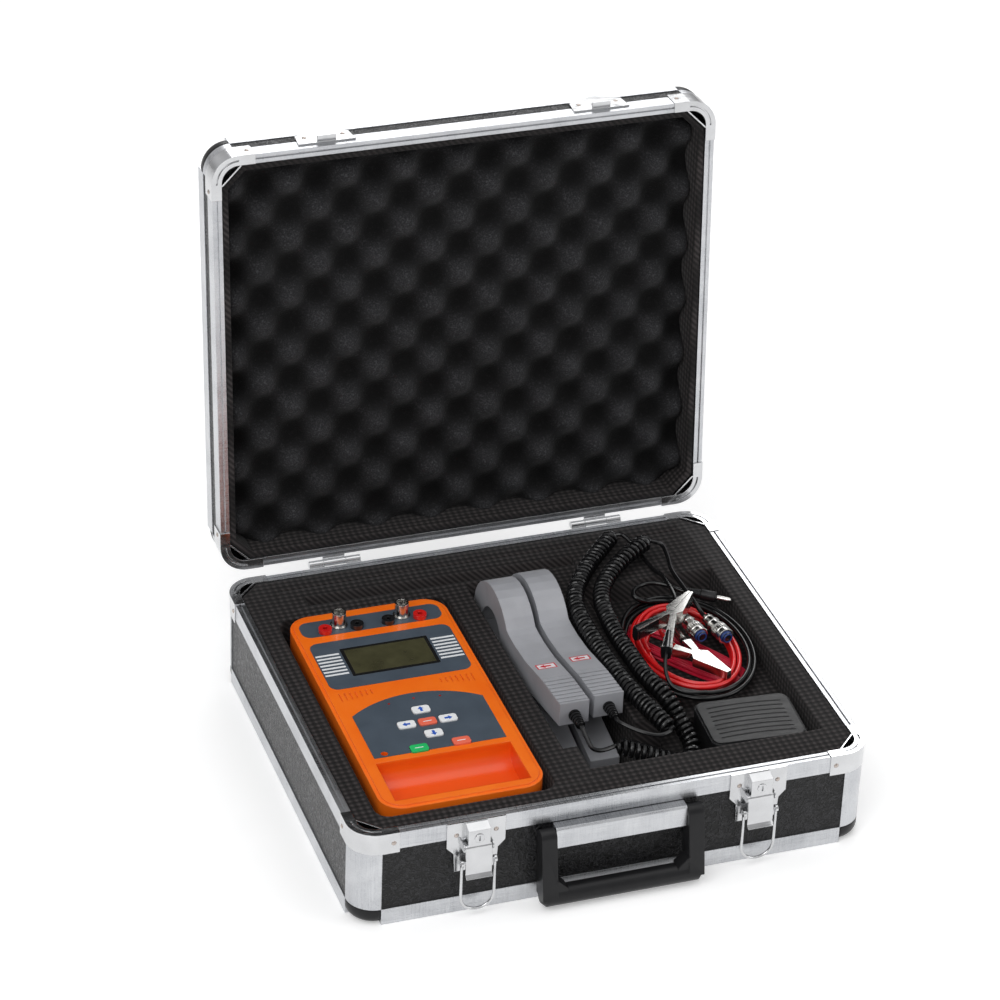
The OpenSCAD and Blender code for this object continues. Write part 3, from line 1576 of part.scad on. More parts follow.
// Plug on the end of the black lead
lead_plug_at = [158, 71, 87.6];
lead_plug_turn = -36;
lead_plug_l = 27;
lead_plug_r = 4.8;
lead_pin_r = 1.9;
lead_pin_l = 13;
lead_plug_rings = 5;
module lead_plug() {
    color("#161618")
        translate(lead_plug_at)
            rotate(lead_plug_turn)
                rotate([0, 90, 0]) {
                    cylinder(r1 = lead_plug_r * 0.6, r2 = lead_plug_r * 0.85,
                        h = lead_plug_l / 2);
                    for (k = [1 : lead_plug_rings])
                        translate([0, 0, k * lead_plug_l / 12])
                            cylinder(r = lead_plug_r * (0.7 + 0.05 * k), h = lead_plug_l / 24);
                    translate([0, 0, lead_plug_l / 2])
                        cylinder(r = lead_plug_r, h = lead_plug_l / 2);
                    translate([0, 0, lead_plug_l]) cylinder(r = lead_pin_r, h = lead_pin_l);
                }
}

// Free ends of the leads: red coil to its boot, black coil to its plug, black clip's wire
red_end_route = [[105, 21, 79], [110, 27, 84], [116, 25, 87]];
plug_end_route = [[113, 71.5, 84.8], [110, 76, 87.6], [115, 85, 88], [128, 91, 88],
    [143, 86, 88], [151, 77, 88]];
clip_end_route = [[95, -42, 100], [93, -51, 94], [95, -60, 88], [103, -67, 85]];
red_boot_end = let (a = polar(silver_grip_l - boot_start, 180 + boot_mid)
        + polar(boot_l, 180 - boot_bend), c = cos(silver_clip_turn), s = sin(silver_clip_turn))
    silver_clip_at + [a[0] * c - a[1] * s, a[0] * s + a[1] * c, 0];
red_boot_dir = turned(silver_clip_turn - boot_bend);
clip_wire_angle = black_clip_turn + 180 + black_spread + black_grip_angle / 2;
clip_wire_at = black_clip_at + black_fixed_grip_l * turned(clip_wire_angle);
module lead_ends() {
    color("#161618") {
        stretch(start_face(red_pile, lead_d), -start_dir(red_pile), red_end_route,
            red_boot_end, red_boot_dir, lead_d);
        stretch(end_face(black_pile, lead_d), end_dir(black_pile), plug_end_route,
            lead_plug_at, turned(lead_plug_turn), lead_d);
        stretch(clip_wire_at, turned(clip_wire_angle), clip_end_route,
            [112, -70, 84.4], turned(0), lead_d * 0.8);
    }
}

// Charger with curved grooves across its top
charger_x = cord_well_x1 - 49;
charger_y = cord_well_y0 + 34;
charger_turn = -4;
charger_r = 9;
groove_count = 8;
groove_pitch = 6;
groove_cut = 0.8;
groove_arc_r = 260;
groove_side = 9;
module charger() {
    color("#202022")
        translate([charger_x, charger_y, charger_floor + foam_gap])
            rotate(charger_turn)
                difference() {
                    union() {
                        round_block(charger_w, charger_l, charger_h - charger_edge, charger_r);
                        translate([0, 0, charger_h - charger_edge])
                            round_block(charger_w - 2 * charger_edge, charger_l - 2 * charger_edge,
                                charger_edge, charger_r - charger_edge);
                    }
                    for (k = [0 : groove_count - 1])
                        translate([0, (k - (groove_count - 1) / 2) * groove_pitch,
                            charger_h - groove_cut])
                            intersection() {
                                translate([0, -groove_arc_r, 0])
                                    difference() {
                                        cylinder(r = groove_arc_r + groove_cut, h = over * 2,
                                            $fn = 180);
                                        translate([0, 0, -over])
                                            cylinder(r = groove_arc_r, h = over * 4, $fn = 180);
                                    }
                                translate([-charger_w / 2 + groove_side, -charger_l, 0])
                                    cube([charger_w - 2 * groove_side, charger_l * 2, over]);
                            }
                }
}
charger_edge = 1.5;

// Earth rod with a turned point and a light metal end
rod_point_l = 24;
rod_neck = 1;
module earth_rod() {
    color("silver")
        translate([slot_x0 + pocket_side / 2, slot_y, foam_top - slot_depth + foam_gap + rod_d / 2])
            rotate([0, 90, 0]) {
                cylinder(r1 = rod_neck, r2 = rod_d / 2 - rod_neck, h = rod_point_l);
                translate([0, 0, rod_point_l])
                    cylinder(r = rod_d / 2 - rod_neck, h = rod_l - 2 * rod_point_l);
                translate([0, 0, rod_l - rod_point_l]) cylinder(d = rod_d, h = rod_point_l);
            }
}

base_rim();
base_frame();
base_panels();
base_corner_clips();
base_corner_caps();
base_rivets();
base_foam();
base_hinge_leaves();
latch_plates();
handle_bracket();
carry_handle();
lid_rim();
lid_frame();
lid_panels();
lid_corner_clips();
lid_corner_caps();
lid_rivets();
lid_lining();
lid_eggcrate_foam();
lid_catches();
lid_hinge_leaves();
left_latch_lever();
right_latch_lever();
left_latch_bail();
right_latch_bail();
tester_body();
tester_overlays();
lcd_window();
red_jacks();
black_jacks();
aviation_sockets();
up_key();
down_key();
left_key();
right_key();
centre_key();
test_key();
power_key();
left_clamp_lower();
left_clamp_upper();
right_clamp_lower();
right_clamp_upper();
left_clamp_relief();
right_clamp_relief();
left_cord_lead();
left_cord_coil();
right_cord_lead();
right_cord_coil();
cord_tails();
aviation_plugs();
red_lead_coil();
black_lead_coil();
earth_wire_hank();
lead_ends();
lead_plug();
clip_frames();
black_clip_jaw();
silver_clip_jaw();
charger();
earth_rod();
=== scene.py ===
import json
import math

import bmesh
import bpy
import numpy as np
from mathutils import Matrix, Vector, noise


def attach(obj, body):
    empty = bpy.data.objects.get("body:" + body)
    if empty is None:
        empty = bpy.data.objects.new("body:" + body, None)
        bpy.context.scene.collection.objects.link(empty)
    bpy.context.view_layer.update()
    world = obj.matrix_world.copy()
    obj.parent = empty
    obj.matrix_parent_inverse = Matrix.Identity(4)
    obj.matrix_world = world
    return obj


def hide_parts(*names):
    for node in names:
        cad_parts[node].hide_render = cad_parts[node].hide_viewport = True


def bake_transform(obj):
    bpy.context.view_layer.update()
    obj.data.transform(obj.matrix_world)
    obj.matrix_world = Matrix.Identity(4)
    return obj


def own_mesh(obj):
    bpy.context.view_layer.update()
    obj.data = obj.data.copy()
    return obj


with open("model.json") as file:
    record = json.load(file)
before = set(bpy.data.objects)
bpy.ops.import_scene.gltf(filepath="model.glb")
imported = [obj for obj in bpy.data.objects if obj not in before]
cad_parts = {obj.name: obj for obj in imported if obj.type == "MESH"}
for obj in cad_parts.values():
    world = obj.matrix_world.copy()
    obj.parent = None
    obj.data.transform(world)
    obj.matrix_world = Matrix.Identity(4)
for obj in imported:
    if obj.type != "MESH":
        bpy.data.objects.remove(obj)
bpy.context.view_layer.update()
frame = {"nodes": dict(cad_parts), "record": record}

bl_info = {
    "name": "Ground Resistance Tester Kit",
    "version": (1, 0, 0),
    "blender": (4, 5, 0),
    "location": "View3D > Sidebar > Tester Kit",
    "description": "Builds the finished look of a ground resistance tester in its carry case",
    "category": "Add Mesh",
}

RECORD_SLOTS = {row["slot"] for row in frame["record"]["materials"]}
NODE_SLOTS = {row["node"]: row["material_slot"] for row in frame["record"]["subparts"]}
MATERIALS = {}
MM = 0.001

# Camera that was fitted to the photograph, in metres
CAMERA_LENS = 143.68
CAMERA_SHIFT = (-0.0248, 0.0148)
CAMERA_MATRIX = (
    (0.944246, 0.143192, -0.296473, -0.98130),
    (-0.326957, 0.513702, -0.793227, -2.57280),
    (0.038715, 0.845935, 0.531879, 1.96383),
    (0, 0, 0, 1))

# Case, in millimetres, as in the CAD source; the lid's values are for the shut lid
LID_Z = 89.5
LID_H = 44.0
LID_WALL = 3.0
HINGE = Vector((0, 196.5, 88.8))
LID_ANGLE = 94.4
CRATE_BACK = LID_Z + LID_H - LID_WALL - 0.3
CRATE_HALF = (205.9, 176.9)
CRATE_CORNER = 14.78
CRATE_PEAKS = (50.0, 52.0)
CRATE_LEAST, CRATE_RISE = 11.0, 17.0

# Tester: the middle of its top face, the scoop from its lower end, the seam round its side,
# and its keys' places as shares of its size
TESTER = Vector((-118.36, -22.92, 91.6))
TESTER_W, TESTER_L = 138.0, 282.0
DISPLAY_Y = TESTER.y + 0.227 * TESTER_L
DISPLAY_HALF = (35.0, 17.5)
SCOOP_HALF_W, SCOOP_NEAR, SCOOP_FAR, SCOOP_Z = 57.5, 6.0, 66.0, 90.5
SEAM_Z, SEAM_W = 67.5, 0.6
KEY_RISE = 1.0
KEY_PLACES = {
    "up_key": (0.005, -0.063), "down_key": (0.005, -0.185), "left_key": (-0.124, -0.125),
    "right_key": (0.133, -0.125), "centre_key": (0.005, -0.125),
    "test_key": (-0.124, -0.244), "power_key": (0.137, -0.242),
}
KEY_ARROWS = {"up_key": 90, "down_key": -90, "left_key": 180, "right_key": 0}

# Clamps: their pivots, and from there the end of the cord's relief and the label
SIDES = ("left", "right")
CLAMPS = {
    "left": Vector((-2.52, 20.0168, 67.0)),
    "right": Vector((28.48, 23.4168, 67.0)),
}
RELIEF_END = Vector((0, -127.0, 31.25))
LABEL_PLACE = Vector((0, -41.0, 33.34))
LABEL_SLOPE = math.atan2(8.7, 44.0)

# Cords: radii, the gap between curls, the points in a turn and the turns that an end needs
# to widen, the length of a step, and the routes of curls, lead-ins and tails
CORD_R = 1.9
CURL_R = 6.6
CURL_GAP = 0.55
CURL_POINTS = 14
CURL_EASE = 1.2
LEAD_R = 2.0
CLIP_WIRE_R = 1.6
SMALL_WIRE_R = 1.9
EARTH_WIRE_R = 1.1
ROUTE_STEP = 1.5
ROUTES = {
    "left": [(22, -125, 86), (37, -131, 83), (54, -137, 77), (70, -140, 71), (82, -137, 69),
             (89, -125, 73), (87, -109, 80), (83, -91, 91), (78, -72, 96.4), (74, -50, 96.4),
             (73, -26, 96.4), (72, 7, 96.4), (74, 40, 96.4), (78, 65, 96.4), (88, 87, 97.5),
             (108, 108, 101), (127, 121, 104), (145, 133, 104)],
    "right": [(68, -128, 94), (63, -109, 96.4), (58, -83, 96.4), (54, -55, 96.4),
              (52, -27, 96.4), (51, 10, 96.4), (52, 47, 96.4), (56, 71, 96.4),
              (67, 94, 96.4), (89, 124, 96.4), (121, 156, 99.5)],
}
LEAD_IN = {
    "left": [(-2, -119, 95), (0, -128, 90), (8, -129, 87)],
    "right": [(31, -113, 98), (42, -124, 96), (56, -131, 94)],
}
TAILS = {
    "left": [(156, 128, 101), (156, 112, 98), (153, 94, 96), (153, 70, 96), (155, 45, 94)],
    "right": [(131, 157, 97), (137, 143, 93), (139, 128, 91), (141, 108, 91), (144, 90, 93),
              (143, 62, 93)],
}

# Plugs and clips: their places, the way they point and how far their grips spread, in
# degrees, with the sleeves' taper, wall and half height
PLUGS = {"left": ((158, 24, 91), -80), "right": ((139.5, 33, 90), -82)}
LEAD_PLUG = Vector((158, 71, 87.6))
LEAD_PLUG_TURN = -36
SMALL_CLIP = Vector((131, -22, 86.6))
SMALL_CLIP_TURN = -64
SMALL_GRIP_REACH, SMALL_GRIP_SPREAD = 17.0, 23
LARGE_CLIP = Vector((123, 17, 102.1))
LARGE_CLIP_TURN = 43
GRIP_SPREAD = 21.5
SLEEVE_TAPER, SLEEVE_WALL, SLEEVE_HALF_H = 4.5, 0.75, 6.5
BOOT_TURN = 96
BOOT_L = 19.0

# Pile of coiled leads: its middle, its lower layer and the distance between turns, then
# the hank in it
PILE_X, PILE_Y, PILE_Z, PITCH = 133.0, 4.0, 75.5, 4.8
PILE_POINTS = 64
HANK_TURN = -56
HANK_LOOPS = 8
HANK_POINTS = 72
HANK_Z = 68.5


# ---------------- shader helpers

class Tree:
    """The nodes of one material or world."""

    def __init__(self, owner):
        owner.use_nodes = True
        self.tree = owner.node_tree
        self.tree.nodes.clear()

    def node(self, kind, settings=None, inputs=None):
        """Adds a node with its settings, and its sockets' values or links."""
        made = self.tree.nodes.new(kind)
        for key, value in (settings or {}).items():
            setattr(made, key, value)
        for key, value in (inputs or {}).items():
            if isinstance(value, Value):
                value = value.socket
            if isinstance(value, bpy.types.NodeSocket):
                self.tree.links.new(value, made.inputs[key])
            else:
                made.inputs[key].default_value = value
        return made

    def value(self, socket):
        """A socket as a number to calculate with."""
        return Value(self, socket)

    def ramp(self, factor, stops):
        """A colour ramp through (place, colour) stops."""
        made = self.node("ShaderNodeValToRGB", inputs={"Fac": factor})
        elements = made.color_ramp.elements
        while len(elements) < len(stops):
            elements.new(0.5)
        for element, (place, colour) in zip(elements, stops):
            element.position = place
            element.color = (*colour, 1.0)
        return made.outputs["Color"]

    def mix(self, factor, a, b):
        """A mix of two colours."""
        made = self.node("ShaderNodeMix", {"data_type": "RGBA"}, {
            0: factor,
            6: a if not isinstance(a, tuple) else (*a, 1.0),
            7: b if not isinstance(b, tuple) else (*b, 1.0)})
        return made.outputs[2]

    def noise(self, vector, scale, detail=3.0, distortion=0.0):
        """A noise value from 0 to 1."""
        made = self.node("ShaderNodeTexNoise", inputs={
            "Vector": vector, "Scale": scale, "Detail": detail, "Distortion": distortion})
        return self.value(made.outputs["Fac"])

    def stretched(self, vector, scale):
        """A vector scaled by its own amount along each axis."""
        made = self.node("ShaderNodeVectorMath", {"operation": "MULTIPLY"},
                         {0: vector, 1: scale})
        return made.outputs[0]

    def axes(self, vector):
        """The three coordinates of a vector."""
        made = self.node("ShaderNodeSeparateXYZ", inputs={0: vector})
        return [self.value(made.outputs[k]) for k in range(3)]


class Value:
    """A number in a shader tree, with the usual arithmetic."""

    def __init__(self, tree, socket):
        self.tree = tree
        self.socket = socket

    def math(self, operation, *others):
        """One Math node on this number and others."""
        made = self.tree.node("ShaderNodeMath", {"operation": operation},
                              dict(enumerate((self, *others))))
        return Value(self.tree, made.outputs[0])

    def __add__(self, other):
        return self.math("ADD", other)

    def __sub__(self, other):
        return self.math("SUBTRACT", other)

    def __mul__(self, other):
        return self.math("MULTIPLY", other)

    def __rsub__(self, other):
        return self * -1.0 + other

    __radd__ = __add__
    __rmul__ = __mul__

    def over(self, low, high):
        """0 below low, 1 above high, smooth between."""
        made = self.tree.node("ShaderNodeMapRange", {"interpolation_type": "SMOOTHSTEP"},
                              {"Value": self, "From Min": low, "From Max": high})
        return Value(self.tree, made.outputs["Result"])

    def inside(self, low, high, soft):
        """1 between low and high, 0 outside them."""
        return self.over(low - soft, low) * (self * -1.0).over(-high - soft, -high)


def start_material(name):
    """A new material, its tree and the object's coordinates."""
    material = bpy.data.materials.new(name)
    tree = Tree(material)
    place = tree.node("ShaderNodeTexCoord").outputs["Object"]
    return material, tree, place


def end_material(tree, colour, rough, height=None, metallic=0.0, coat=0.0, edge=0.0,
                 specular=0.5, sheen=0.0, glow=0.0):
    """Joins the finished inputs to a principled shader. Heights and edge are in metres."""
    inputs = {"Base Color": colour if not isinstance(colour, tuple) else (*colour, 1.0),
              "Roughness": rough, "Metallic": metallic, "Coat Weight": coat,
              "Coat Roughness": 0.08, "Specular IOR Level": specular, "Sheen Weight": sheen,
              "Emission Color": (1.0, 1.0, 1.0, 1.0), "Emission Strength": glow}
    if height is not None:
        bump = {"Height": height, "Distance": 1.0, "Strength": 1.0}
        if edge:
            bevel = tree.node("ShaderNodeBevel", {"samples": 4}, {"Radius": edge})
            bump["Normal"] = bevel.outputs[0]
        inputs["Normal"] = tree.node("ShaderNodeBump", inputs=bump).outputs[0]
    shader = tree.node("ShaderNodeBsdfPrincipled", inputs=inputs)
    tree.node("ShaderNodeOutputMaterial", inputs={"Surface": shader.outputs[0]})


def plain(name, colour, rough, metallic=0.0, coat=0.0, grain=2e-5, grain_scale=1400.0,
          mottle=0.12, wear=0.12, edge=0.0005, specular=0.5, glow=0.0):
    """Moulded or metal surface: fine grain, faint mottling and handling marks."""
    material, tree, place = start_material(name)
    cloud = tree.noise(place, 45.0, 4.0, 0.4)
    fine = tree.noise(place, grain_scale, 2.0)
    smear = tree.noise(tree.stretched(place, (60.0, 260.0, 130.0)), 1.0, 5.0, 1.2)
    dark = tuple(c * (1.0 - mottle) for c in colour)
    light = tuple(min(1.0, c * (1.0 + mottle) + 0.004) for c in colour)
    tint = tree.ramp(cloud * 0.75 + fine * 0.25, [(0.3, dark), (0.7, light)])
    roughness = rough + (smear - 0.5) * (wear * 1.6) + (fine - 0.5) * (wear * 0.5)
    height = fine * grain + cloud * (grain * 2.0) + smear * (grain * 0.4)
    end_material(tree, tint, roughness.math("MAXIMUM", 0.03), height, metallic, coat, edge,
                 specular, glow=glow)
    return material


def aluminium():
    """Extrusions with fine crossed brushing along both directions."""
    material, tree, place = start_material("Brushed aluminium")
    along = tree.noise(tree.stretched(place, (30.0, 2600.0, 2600.0)), 1.0, 3.0)
    across = tree.noise(tree.stretched(place, (2600.0, 30.0, 2600.0)), 1.0, 3.0)
    upright = tree.noise(tree.stretched(place, (2600.0, 2600.0, 40.0)), 1.0, 3.0)
    cloud = tree.noise(place, 30.0, 4.0, 0.5)
    mark = tree.noise(place, 420.0, 6.0, 2.0).over(0.62, 0.72)
    brush = (along + across + upright) * (1.0 / 3.0)
    tint = tree.ramp(brush * 0.7 + cloud * 0.3, [
        (0.35, (0.36, 0.37, 0.39)), (0.5, (0.55, 0.56, 0.58)), (0.66, (0.72, 0.73, 0.74))])
    rough = 0.26 + (brush - 0.5) * 0.5 + cloud * 0.08 + mark * 0.1
    height = brush * 1.6e-5 + cloud * 2e-5 + mark * 4e-6
    end_material(tree, tint, rough, height, 1.0, edge=0.0005)
    return material


def leather_panel():
    """ABS sheet with a glossy wrinkled relief; painted shade darkens its folds and painted
    highlight lightens its ridges.
    """
    material, tree, place = start_material("Wrinkled ABS")
    big = tree.noise(place, 210.0, 1.0, 1.8)
    small = tree.noise(place, 520.0, 1.0, 1.0)
    relief = big.over(0.43, 0.57) * 0.8 + small.over(0.4, 0.6) * 0.2
    dust = tree.noise(place, 2400.0, 2.0).over(0.64, 0.7)
    # Painted shade and highlight: the colour follows the relief, darkest in the folds and lightest
    # on the ridges
    tint = tree.ramp(relief, [
        (0.1, (0.002, 0.002, 0.0022)), (0.6, (0.006, 0.006, 0.0068)),
        (1.0, (0.016, 0.016, 0.018))])
    rough = 0.34 - relief * 0.08 + dust * 0.15
    height = relief * 6.5e-4 + dust * 8e-6
    end_material(tree, tint, rough, height, specular=0.3)
    return material


def tray_foam():
    """Dense foam embossed with small diamonds, with painted shade in their dips and painted light
    on their tops.
    """
    material, tree, place = start_material("Embossed foam")
    x, y, z = tree.axes(place)
    diamond_l = 0.0112
    step = 2.0 * math.pi / diamond_l
    wobble = tree.noise(place, 90.0, 2.0) * 0.7
    a = ((x + y + z) * step + wobble).math("SINE")
    b = ((x - y + z) * step + wobble).math("SINE")
    diamond = (a * b) * 0.5 + 0.5
    pore = tree.noise(place, 1900.0, 3.0)
    cloud = tree.noise(place, 28.0, 4.0, 0.6)
    lint = tree.noise(place, 3600.0, 1.0).over(0.69, 0.73)
    # Painted shade and light: the colour follows the embossed diamonds, darker in their dips and
    # lighter on their tops, with random tone from the pores and the cloud
    shade = tree.ramp(diamond * 0.65 + pore * 0.2 + cloud * 0.15, [
        (0.25, (0.003, 0.0026, 0.0027)), (0.55, (0.014, 0.012, 0.012)),
        (0.8, (0.044, 0.038, 0.038))])
    tint = tree.mix(lint * 0.35, shade, (0.16, 0.155, 0.15))
    height = diamond * 4e-4 + pore * 9e-5 + cloud * 2e-4
    end_material(tree, tint, 0.78 + (pore - 0.5) * 0.2, height, sheen=0.08, specular=0.2)
    return material


def crate_foam():
    """Open-cell foam: dark cells with bright facets, and painted shade that darkens the pits
    between its bumps.
    """
    material, tree, place = start_material("Open-cell foam")
    cells = tree.node("ShaderNodeTexVoronoi", inputs={"Vector": place, "Scale": 900.0})
    cell = tree.value(cells.outputs["Distance"])
    facet = tree.axes(cells.outputs["Color"])[0].over(0.86, 0.97)
    pore = tree.noise(place, 1500.0, 3.0, 0.5)
    cloud = tree.noise(place, 40.0, 4.0, 0.5)
    shade = tree.ramp(cell * 0.45 + pore * 0.35 + cloud * 0.3, [
        (0.2, (0.003, 0.003, 0.0033)), (0.55, (0.02, 0.02, 0.0215)),
        (0.85, (0.052, 0.052, 0.056))])
    tint = tree.mix(facet * 0.3, shade, (0.09, 0.09, 0.097))
    # Painted shade: the pits between the bumps are darkened towards near-black, where shadow falls
    # in them
    back = opened((0, 0, CRATE_BACK)) * MM
    out = opened((0, 0, 1)) - opened((0, 0, 0))
    depth = tree.value(tree.node("ShaderNodeVectorMath", {"operation": "DOT_PRODUCT"},
                                 {0: place, 1: tuple(out)}).outputs["Value"])
    peak_clear_of_painted_shade = (back.dot(out) - depth).over((CRATE_LEAST + 1.5) * MM,
                                        (CRATE_LEAST + CRATE_RISE - 0.5) * MM)
    tint = tree.mix(peak_clear_of_painted_shade, (0.0012, 0.0012, 0.0013), tint)
    height = cell * 2.8e-4 + pore * 1.6e-4 + cloud * 3e-4
    end_material(tree, tint, 0.85 - facet * 0.2, height, sheen=0.06, specular=0.15)
    return material


def orange_body(colour):
    """Moulded orange plastic, with painted shade that deepens the colour of the scoop, and a seam
    round its side.
    """
    material, tree, place = start_material("Orange moulding")
    x, y, z = tree.axes(place)
    cloud = tree.noise(place, 22.0, 4.0, 0.5)
    fine = tree.noise(place, 1700.0, 2.0)
    smear = tree.noise(tree.stretched(place, (220.0, 50.0, 120.0)), 1.0, 5.0, 1.0)
    deep = tuple(c * share for c, share in zip(colour, (0.93, 0.6585, 0.3333)))
    tint = tree.ramp(cloud * 0.7 + fine * 0.3, [(0.3, deep), (0.7, colour)])
    foot = (TESTER.y - TESTER_L / 2) * MM
    near, far, rim = foot + SCOOP_NEAR * MM, foot + SCOOP_FAR * MM, SCOOP_Z * MM
    # Painted shade: the recessed scoop at the lower end is tinted deeper red where shadow falls in
    # it
    painted_scoop_shade = (y * -1.0).over(-far, 0.008 - far) * (z * -1.0).over(-rim, 0.002 - rim) \
        * y.over(near, near + 0.005) \
        * x.inside((TESTER.x - SCOOP_HALF_W) * MM, (TESTER.x + SCOOP_HALF_W) * MM, 0.0006)
    tint = tree.mix(painted_scoop_shade * 0.85, tint, (0.80, 0.075, 0.004))
    seam = z.inside(SEAM_Z * MM, (SEAM_Z + SEAM_W) * MM, 0.0002)
    tint = tree.mix(seam * 0.7, tint, (0.25, 0.03, 0.002))
    rough = 0.34 + (smear - 0.5) * 0.22 + (fine - 0.5) * 0.08
    height = fine * 2.2e-5 + cloud * 4e-5 - seam * 3e-4
    end_material(tree, tint, rough, height, coat=0.12, edge=0.0011)
    return material


def display_glass():
    """Dark olive liquid-crystal display under its window."""
    material, tree, place = start_material("Display window")
    x, y, _ = tree.axes(place)
    half_w, half_l = DISPLAY_HALF
    live = x.inside((TESTER.x - half_w) * MM, (TESTER.x + half_w) * MM, 0.0004) \
        * y.inside((DISPLAY_Y - half_l) * MM, (DISPLAY_Y + half_l) * MM, 0.0004)
    cloud = tree.noise(place, 60.0, 3.0)
    fine = tree.noise(place, 2200.0, 2.0)
    panel = tree.ramp(cloud, [(0.3, (0.045, 0.043, 0.022)), (0.7, (0.075, 0.072, 0.036))])
    tint = tree.mix(live, (0.012, 0.012, 0.012), panel)
    end_material(tree, tint, 0.1 + cloud * 0.06 + fine * 0.03, fine * 2e-6 + cloud * 4e-6,
                 coat=0.6)
    return material


def make_materials(settings):
    """One finish for each material slot of the record, and some for small parts."""
    chrome = dict(metallic=1.0, grain=4e-6, mottle=0.08, wear=0.2)
    return {
        "aluminium_edge": aluminium(),
        "abs_panel": leather_panel(),
        "steel_clip": plain("Bright steel", (0.60, 0.605, 0.615), 0.17, **chrome),
        "black_plastic": plain("Black moulding", (0.009, 0.009, 0.010), 0.34,
                               grain=5e-5, grain_scale=2300.0, edge=0.0016, specular=0.25),
        "copper_rivet": plain("Worn rivets", (0.50, 0.44, 0.40), 0.28, metallic=1.0,
                              mottle=0.25, wear=0.3),
        "tray_foam": tray_foam(),
        "crate_foam": crate_foam(),
        "orange_body": orange_body(tuple(settings.body_colour)),
        "overlay": plain("Slate overlay", (0.060, 0.080, 0.105), 0.42, grain=2.5e-5,
                         grain_scale=3000.0, edge=0.0002),
        "lcd": display_glass(),
        "red_plastic": plain("Red moulding", (0.62, 0.012, 0.010), 0.25, coat=0.3),
        "black_gloss": plain("Black gloss moulding", (0.008, 0.008, 0.009), 0.2, coat=0.3),
        "nickel": plain("Nickel plate", (0.58, 0.57, 0.55), 0.2, **chrome),
        "white_key": plain("White keys", (0.86, 0.87, 0.88), 0.4, mottle=0.04, edge=0.001),
        "salmon_key": plain("Salmon keys", (0.86, 0.155, 0.09), 0.4, mottle=0.06, edge=0.001),
        "green_key": plain("Green key", (0.015, 0.50, 0.13), 0.4, mottle=0.08, edge=0.001),
        "grey_clamp": plain("Grey clamp moulding", tuple(settings.clamp_colour), 0.42,
                            grain=6e-5, grain_scale=1900.0, mottle=0.08, edge=0.0012),
        "cord_rubber": plain("Black cord", (0.004, 0.004, 0.0045), 0.2, grain=1.2e-5,
                             wear=0.06, edge=0.0, specular=0.4),
        "red_cord": plain("Red lead", tuple(settings.lead_colour), 0.3, grain=1.2e-5,
                          coat=0.25, mottle=0.18, edge=0.0),
        "pink_wire": plain("Earth wire", (0.62, 0.012, 0.045), 0.32, grain=1.2e-5,
                           coat=0.2, mottle=0.22, edge=0.0),
        "print_white": plain("White print", (0.80, 0.82, 0.84), 0.45, mottle=0.05, edge=0.0),
        "print_blue": plain("Blue print", (0.02, 0.10, 0.50), 0.45, edge=0.0),
        "print_red": plain("Red print", (0.62, 0.02, 0.035), 0.45, edge=0.0),
        "blue_insert": plain("Blue insert", (0.012, 0.045, 0.20), 0.35, edge=0.0004),
        "led": plain("Indicator", (0.35, 0.02, 0.015), 0.2, coat=0.5, edge=0.0),
        "floor": plain("Studio floor", (0.9, 0.9, 0.9), 0.7, grain=0.0, mottle=0.01,
                       wear=0.02, edge=0.0, glow=0.3),
    }


# ---------------- mesh helpers

def make(name, points, faces, slot, body=None, smooth=True, sharp=35.0):
    """A mesh from points in millimetres, riding a body."""
    mesh = bpy.data.meshes.new(name)
    mesh.from_pydata([tuple(float(c) * MM for c in p) for p in points], [], faces)
    return finished(name, mesh, slot, body, smooth, sharp)


def finished(name, mesh, slot, body=None, smooth=True, sharp=35.0):
    """Cleans a mesh in metres, gives it its finish and puts it on its body."""
    work = bmesh.new()
    work.from_mesh(mesh)
    bmesh.ops.remove_doubles(work, verts=work.verts, dist=1e-7)
    bmesh.ops.recalc_face_normals(work, faces=work.faces)
    work.to_mesh(mesh)
    work.free()
    mesh.materials.append(MATERIALS[slot])
    for face in mesh.polygons:
        face.use_smooth = smooth
    if smooth:
        mesh.set_sharp_from_angle(angle=math.radians(sharp))
    obj = bpy.data.objects.new(name.replace(" ", "_"), mesh)
    bpy.context.scene.collection.objects.link(obj)
    slot in RECORD_SLOTS
    if body:
        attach(obj, body)
    return obj


def resampled(points, step):
    """A Catmull-Rom curve through given points, cut into even steps."""
    p = np.array([points[0], *points, points[-1]], float)
    p[0] = 2 * p[1] - p[2]
    p[-1] = 2 * p[-2] - p[-3]
    out = []
    for a, b, c, d in zip(p, p[1:], p[2:], p[3:]):
        for t in np.linspace(0, 1, 24, endpoint=False):
            out.append(0.5 * (2 * b + (c - a) * t + (2 * a - 5 * b + 4 * c - d) * t * t
                              + (3 * b - a - 3 * c + d) * t ** 3))
    out.append(p[-2])
    out = np.array(out)
    length = np.concatenate([[0], np.cumsum(np.linalg.norm(np.diff(out, axis=0), axis=1))])
    where = np.linspace(0, length[-1], max(2, int(round(length[-1] / step)) + 1))
    return np.stack([np.interp(where, length, out[:, k]) for k in range(3)], 1)


def softened(points, rounds):
    """Evens out a path without moving its ends."""
    p = np.array(points, float)
    for _ in range(rounds):
        p[1:-1] = p[1:-1] * 0.5 + (p[:-2] + p[2:]) * 0.25
    return p


def frames(path):
    """Tangents and a steady pair of normals along a path."""
    path = np.array(path, float)
    tangent = np.gradient(path, axis=0)
    tangent /= np.linalg.norm(tangent, axis=1)[:, None]
    up = np.array([0.1, 0.1, 1.0])
    u = up - up.dot(tangent[0]) * tangent[0]
    u /= np.linalg.norm(u)
    first, second = [u], [np.cross(tangent[0], u)]
    for t in tangent[1:]:
        u = u - u.dot(t) * t
        u /= np.linalg.norm(u)
        first.append(u)
        second.append(np.cross(t, u))
    return tangent, np.array(first), np.array(second)


